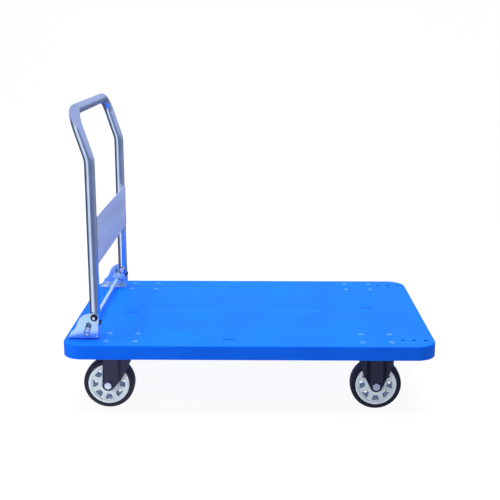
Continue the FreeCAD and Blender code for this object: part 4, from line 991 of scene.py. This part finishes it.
for name, body, plural in AXLES:
    for kind, piece_end, shape in (("bolt", "bolt", axle_bolt), ("nut", "lock_nut", axle_nut)):
        node = f"{name}_{kind}{plural}"
        forms = laid_along(node, shape, True)
        shown_forms(f"{name}_{piece_end}", forms, zinc, body, "zinc_fastener", node)
    rounded_copy(f"{name}_sleeve", f"{name}_spacers", FINE_EDGE, zinc)


# ---------------------------------------------------------------------------- hinge brackets
# Each is one folded sheet of bright zinc-plated steel: base, outer side wall and front wall.
# The side wall carries the handle's pivot and the slanted slot of the lock bar.

BRACKET_EDGE = 0.0007

# Bright zinc colour with a strong blue tint painted in as the reflection of the blue deck.
plated_sheet = bright_zinc("plated_sheet", (0.52, 0.70, 0.85), (0.61, 0.79, 0.95), (0.20, 0.28),
                           metallic=0.92, relief=0.000001, scratches=0.15)
for side in ("left", "right"):
    rounded_copy(f"hinge_bracket_{side}_folded", f"hinge_bracket_{side}", BRACKET_EDGE, plated_sheet,
                 steps=3)


# ---------------------------------------------------------------------------- bracket fasteners
# Two low-headed M8 bolts hold each bracket down through the deck, with washers and nuts below.
# All are zinc plated, like the fasteners of the casters.

rounded_copy("bracket_bolt_set", "bracket_bolts", FINE_EDGE, zinc)
clamping_sets("bracket")


# ---------------------------------------------------------------------------- fold buffers
# Black rubber strips are pushed over the top edges of the brackets' front walls.
# The folded handle comes to rest on them, so that steel does not strike steel.

buffer_rubber = speckled_finish("buffer_rubber", (0.014, 0.017, 0.028), (0.024, 0.028, 0.042),
                                rough=(0.6, 0.75), cloud=120.0, grain=1800.0, relief=0.00006)
rounded_copy("fold_buffer_strips", "fold_buffers", SHEET_EDGE, buffer_rubber)


# ---------------------------------------------------------------------------- handle pivots
# An M8 bolt runs through nylon bushes in each upright and through the bracket's side wall.
# Its head faces the middle of the cart; a blackened lock nut and washer sit on the outside.

PIVOT_HEAD = 0.0053
PIVOT_WASHER_R = 0.0090

black_oxide = speckled_finish("black_oxide", (0.020, 0.022, 0.034), (0.055, 0.060, 0.085), metallic=0.8,
                              rough=(0.30, 0.45), cloud=240.0, grain=2600.0, relief=0.00001)
bush_nylon = speckled_finish("bush_nylon", (0.70, 0.70, 0.64), (0.84, 0.84, 0.78), rough=(0.42, 0.55),
                             cloud=150.0, grain=2000.0, relief=0.00002)


def pivot_bolt(length):
    """M8 pivot bolt of a whole length, head included."""
    return threaded_bolt(M8_FLATS, M8_BORE, PIVOT_HEAD, length - PIVOT_HEAD)


def pivot_nut(length):
    """M8 lock nut."""
    return lock_nut(M8_FLATS, M8_BORE, length)


shown_forms("pivot_bolt_pair", laid_along("pivot_bolts", pivot_bolt, False), zinc, "deck_assembly",
            "zinc_fastener", "pivot_bolts")
shown_forms("pivot_nut_pair", laid_along("pivot_nuts", pivot_nut, False), black_oxide, "deck_assembly",
            "dark_fastener", "pivot_nuts")
washers = []
for low, high in solid_boxes("pivot_washers"):
    hub = ((low[0] + high[0]) / 2, (low[2] + high[2]) / 2)
    washers.append(sideways(washer(PIVOT_WASHER_R, M8_BORE, high[1] - low[1]), hub, low[1], 1))
shown_forms("pivot_washer_set", washers, black_oxide, "deck_assembly", "dark_fastener", "pivot_washers")
rounded_copy("pivot_bush_set", "pivot_bushes", FINE_EDGE, bush_nylon)


# ---------------------------------------------------------------------------- handle tube
# One length of 25 mm steel tube, bent four times into a U whose grip leans back, then chromed.
# Its lower ends are open and rounded about the pivot, so that they clear the bracket when it folds.

TUBE_R = 0.0125
TUBE_WALL = 0.0015
TUBE_END_R = 0.01444
BEND_Z = DECK_TOP + 0.435
BEND_RADIUS = 0.070
GRIP_CORNER_RADIUS = 0.045
ARC_STATIONS = 22
TUBE_STEPS = 72
END_STATION = 0.012
DRAWN_OUT = 0.02


def joint_row(name):
    """What the part's record says of one joint."""
    return next(row for row in frame["record"]["behaviour"]["joints"] if row["name"] == name)


tube_low, tube_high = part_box("handle_tube")
UPRIGHT = (tube_high.x - TUBE_R, tube_high.y - TUBE_R)
GRIP = (tube_low.x + TUBE_R, tube_high.z - TUBE_R)
PIVOT_Z = joint_row("handle_fold")["pos_m"][2]


def rounded_corner(before, corner, after, radius):
    """Arc that rounds a corner between two straight runs, as evenly spaced points."""
    back = (before - corner) / np.linalg.norm(before - corner)
    ahead = (after - corner) / np.linalg.norm(after - corner)
    half = math.acos(float(back @ ahead)) / 2
    inward = (back + ahead) / np.linalg.norm(back + ahead)
    centre = corner + inward * radius / math.sin(half)
    start = corner + back * radius / math.tan(half) - centre
    side = np.cross(np.cross(start, ahead - back), start)
    side = side / np.linalg.norm(side) * radius
    turn = np.linspace(0, math.pi - 2 * half, ARC_STATIONS)[:, None]
    return centre + start * np.cos(turn) + side * np.sin(turn)


def carried_round(path, radius, steps):
    """Circle carried along a path: each station's ring is the last one's, turned by the least angle."""
    ahead = np.gradient(path, axis=0)
    ahead = ahead / np.linalg.norm(ahead, axis=1)[:, None]
    across = np.empty_like(path)
    across[0] = (1, 0, 0)
    for station in range(1, len(path)):
        flat = across[station - 1] - ahead[station] * (across[station - 1] @ ahead[station])
        across[station] = flat / np.linalg.norm(flat)
    third = np.cross(ahead, across)
    angle = np.linspace(0, 2 * math.pi, steps, endpoint=False)[None, :, None]
    circle = across[:, None, :] * np.cos(angle) + third[:, None, :] * np.sin(angle)
    return path[:, None, :] + radius * circle


def chromed_tube():
    """Bright chrome: faint drawn lines along the tube over a finely polished, slightly cloudy skin."""
    material = speckled_finish("chromed_tube", (0.62, 0.66, 0.74), (0.76, 0.79, 0.86), metallic=1.0,
                               rough=(0.14, 0.20), cloud=18.0, grain=1600.0, relief=0.000004)
    nodes = material.node_tree.nodes
    links = material.node_tree.links
    drawn = nodes.new("ShaderNodeAttribute")
    drawn.attribute_name = "drawn"
    lines = nodes.new("ShaderNodeTexNoise")
    lines.inputs["Scale"].default_value = 900.0
    lines.inputs["Detail"].default_value = 2
    ridge = nodes.new("ShaderNodeBump")
    ridge.inputs["Strength"].default_value = 0.35
    ridge.inputs["Distance"].default_value = 0.00001
    links.new(drawn.outputs["Vector"], lines.inputs["Vector"])
    links.new(lines.outputs["Fac"], ridge.inputs["Height"])
    links.new(nodes["bump"].outputs["Normal"], ridge.inputs["Normal"])
    links.new(ridge.outputs["Normal"], nodes["Principled BSDF"].inputs["Normal"])
    return material


foot = np.array([UPRIGHT[0], UPRIGHT[1], PIVOT_Z - TUBE_END_R])
elbow = np.array([UPRIGHT[0], UPRIGHT[1], BEND_Z])
grip_corner = np.array([GRIP[0], UPRIGHT[1], GRIP[1]])
middle = np.array([GRIP[0], 0.0, GRIP[1]])
half_path = np.vstack([
    [foot, foot + (0, 0, TUBE_END_R + END_STATION)],
    foot + np.linspace(0.1, 0.9, 9)[:, None] * (elbow - foot - (0, 0, BEND_RADIUS / 4)),
    rounded_corner(foot, elbow, grip_corner, BEND_RADIUS),
    rounded_corner(elbow, grip_corner, middle, GRIP_CORNER_RADIUS),
])
grip_run = np.linspace(0.8, -0.8, 9)[:, None] * (half_path[-1] * (0, 1, 0)) + middle
path = np.vstack([half_path, grip_run, half_path[::-1] * (1, -1, 1)])
skins = []
for radius in (TUBE_R, TUBE_R - TUBE_WALL):
    skin = carried_round(path, radius, TUBE_STEPS)
    for end in (0, -1):
        skin[end, :, 2] = PIVOT_Z - np.sqrt(TUBE_END_R ** 2 - (skin[end, :, 0] - UPRIGHT[0]) ** 2)
    skins.append(skin)
mesh = closed_mesh("bent_handle_tube", [np.concatenate([skins[0], skins[1][::-1]])], chromed_tube())
travelled = np.concatenate([[0], np.cumsum(np.linalg.norm(np.diff(path, axis=0), axis=1))])
angle = np.linspace(0, 2 * math.pi, TUBE_STEPS, endpoint=False)
lay = np.empty((len(path), TUBE_STEPS, 3))
lay[..., 0] = TUBE_R * np.cos(angle)
lay[..., 1] = TUBE_R * np.sin(angle)
lay[..., 2] = DRAWN_OUT * travelled[:, None]
drawn = mesh.attributes.new("drawn", "FLOAT_VECTOR", "POINT")
drawn.data.foreach_set("vector", np.concatenate([lay, lay[::-1]]).astype(np.float32).ravel())
shown("bent_handle_tube", mesh, "handle", ["handle_tube"], sharp=math.radians(50))


# ---------------------------------------------------------------------------- cross plate
# A flat steel sheet across the front of the uprights stiffens the handle; it is satin zinc plated.
# Short fillet welds hold it from behind, where the sheet meets each tube.

WELD_LENGTH = 0.022
WELD_R = 0.0020
WELD_BEADS = 11
WELD_POINTS = 67
WELD_HEIGHTS = (0.12, 0.50, 0.88)
PLATE_WORN = (0.66, 0.74, 0.90, 1)

plate_zinc = speckled_finish("plate_satin_zinc", (0.460, 0.550, 0.740), (0.540, 0.640, 0.830),
                             metallic=0.30, rough=(0.36, 0.46), cloud=14.0, grain=1700.0,
                             relief=0.00001, stretch=(1, 0.25, 2.5))
worn = noise_mask(plate_zinc, scale=20.0, low=0.66, high=0.80, strength=0.35, stretch=(1.0, 2.0, 9.0))
overlaid(plate_zinc, worn, PLATE_WORN)
rounded_copy("cross_plate_sheet", "cross_plate", SHEET_EDGE, plate_zinc, steps=3)

plate_low, plate_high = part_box("cross_plate")
share = np.linspace(0, 1, WELD_POINTS)
swell = WELD_R * np.sin(math.pi * share) ** 0.35 * (1 + 0.16 * np.cos(2 * math.pi * WELD_BEADS * share))
bead = turned(np.column_stack([swell * (share > 0) * (share < 1), share * WELD_LENGTH]), 16)
welds = []
for side in (-1, 1):
    for height in WELD_HEIGHTS:
        level = plate_low.z + height * (plate_high.z - plate_low.z) - WELD_LENGTH / 2
        spot = (plate_low.x - WELD_R * 0.7, side * (UPRIGHT[1] - TUBE_R * 0.52))
        welds.append(upright(bead, spot, level))
shown_forms("cross_plate_welds", welds, plate_zinc, "handle", "plate_steel", sharp=math.radians(80))


# ---------------------------------------------------------------------------- lock
# Pressing the bar down with a foot frees the steel tongues in the uprights' lower ends.
# Two springs on pegs pull the bar up again; spring clips stop it from sliding sideways.
# Each bracket's slot has the raised burr of the press round it, coloured dark.

BAR_CHAMFER = 0.0009

# The bar's light blue is a painted reflection of the blue deck on the steel.
drawn_bar = bright_zinc("drawn_bar_steel", (0.44, 0.64, 0.88), (0.58, 0.78, 0.97), (0.24, 0.36),
                        metallic=0.5)
drawn_bar.node_tree.nodes["pull"].inputs["Scale"].default_value = (1.0, 0.06, 1.0)
bar_low, bar_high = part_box("lock_bar")
bar_r = (bar_high.x - bar_low.x) / 2
bar_length = bar_high.y - bar_low.y
bar_form = turned([(0.0, 0.0003), (bar_r * 0.5, 0.0), (bar_r - BAR_CHAMFER, 0.0), (bar_r, BAR_CHAMFER),
                   (bar_r, bar_length / 2), (bar_r, bar_length - BAR_CHAMFER),
                   (bar_r - BAR_CHAMFER, bar_length), (bar_r * 0.5, bar_length),
                   (0.0, bar_length - 0.0003)], 48)
bar_hub = (bar_low.x + bar_r, bar_low.z + bar_r)
shown_forms("foot_lock_bar", [sideways(bar_form, bar_hub, bar_low.y, 1)], drawn_bar, "lock_bar",
            "bar_steel", "lock_bar")
rounded_copy("lock_tongue_pair", "lock_tongues", SHEET_EDGE, drawn_bar)
rounded_copy("bar_clip_pair", "lock_bar_clips", FINE_EDGE, zinc)
rounded_copy("spring_peg_pair", "spring_pegs", FINE_EDGE, zinc)

SLOT_R = 0.0053
SLOT_ABOVE_BAR = 0.0152
BURR_WIDTH = 0.0016
BURR_LIFT = 0.0002
BURR_STEPS = 48

press = joint_row("lock_bar_press")


def slot_burr(face, side):
    """Four-cornered rim carried round a slot: half circles about its two ends, joined by straights.

    Each corner is the end centre + reach * (across * cos t - along * sin t), at a height off the face."""
    along = np.array([press["axis"][0], press["axis"][2]])
    across = np.array([along[1], -along[0]])
    turn = (np.arange(BURR_STEPS) + 0.5) * 2 * math.pi / BURR_STEPS
    upper = np.sin(turn) > 0
    shift = np.where(upper, -SLOT_ABOVE_BAR, press["range_m"][1])[:, None] * along
    circle = np.cos(turn)[:, None] * across - np.sin(turn)[:, None] * along
    corners = [(SLOT_R, -BURR_LIFT), (SLOT_R + BURR_WIDTH, -BURR_LIFT),
               (SLOT_R + BURR_WIDTH - BURR_LIFT, BURR_LIFT), (SLOT_R + BURR_LIFT, BURR_LIFT)]
    rim = np.empty((len(corners), BURR_STEPS, 3))
    for row, (reach, height) in enumerate(corners):
        rim[row, :, :2] = shift + reach * circle
        rim[row, :, 2] = height
    return sideways(rim, bar_hub, face, side)


burrs = [slot_burr(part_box("hinge_bracket_left")[1].y, 1),
         slot_burr(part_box("hinge_bracket_right")[0].y, -1)]
shown_forms("slot_burr_pair", burrs, black_oxide, "deck_assembly", "dark_fastener")

spring_wire = speckled_finish("spring_wire", (0.40, 0.41, 0.44), (0.58, 0.59, 0.62), metallic=1.0,
                              rough=(0.22, 0.34), cloud=300.0, grain=2600.0, relief=0.000006)
for slot in frame["nodes"]["lock_springs"].material_slots:
    slot.material = spring_wire
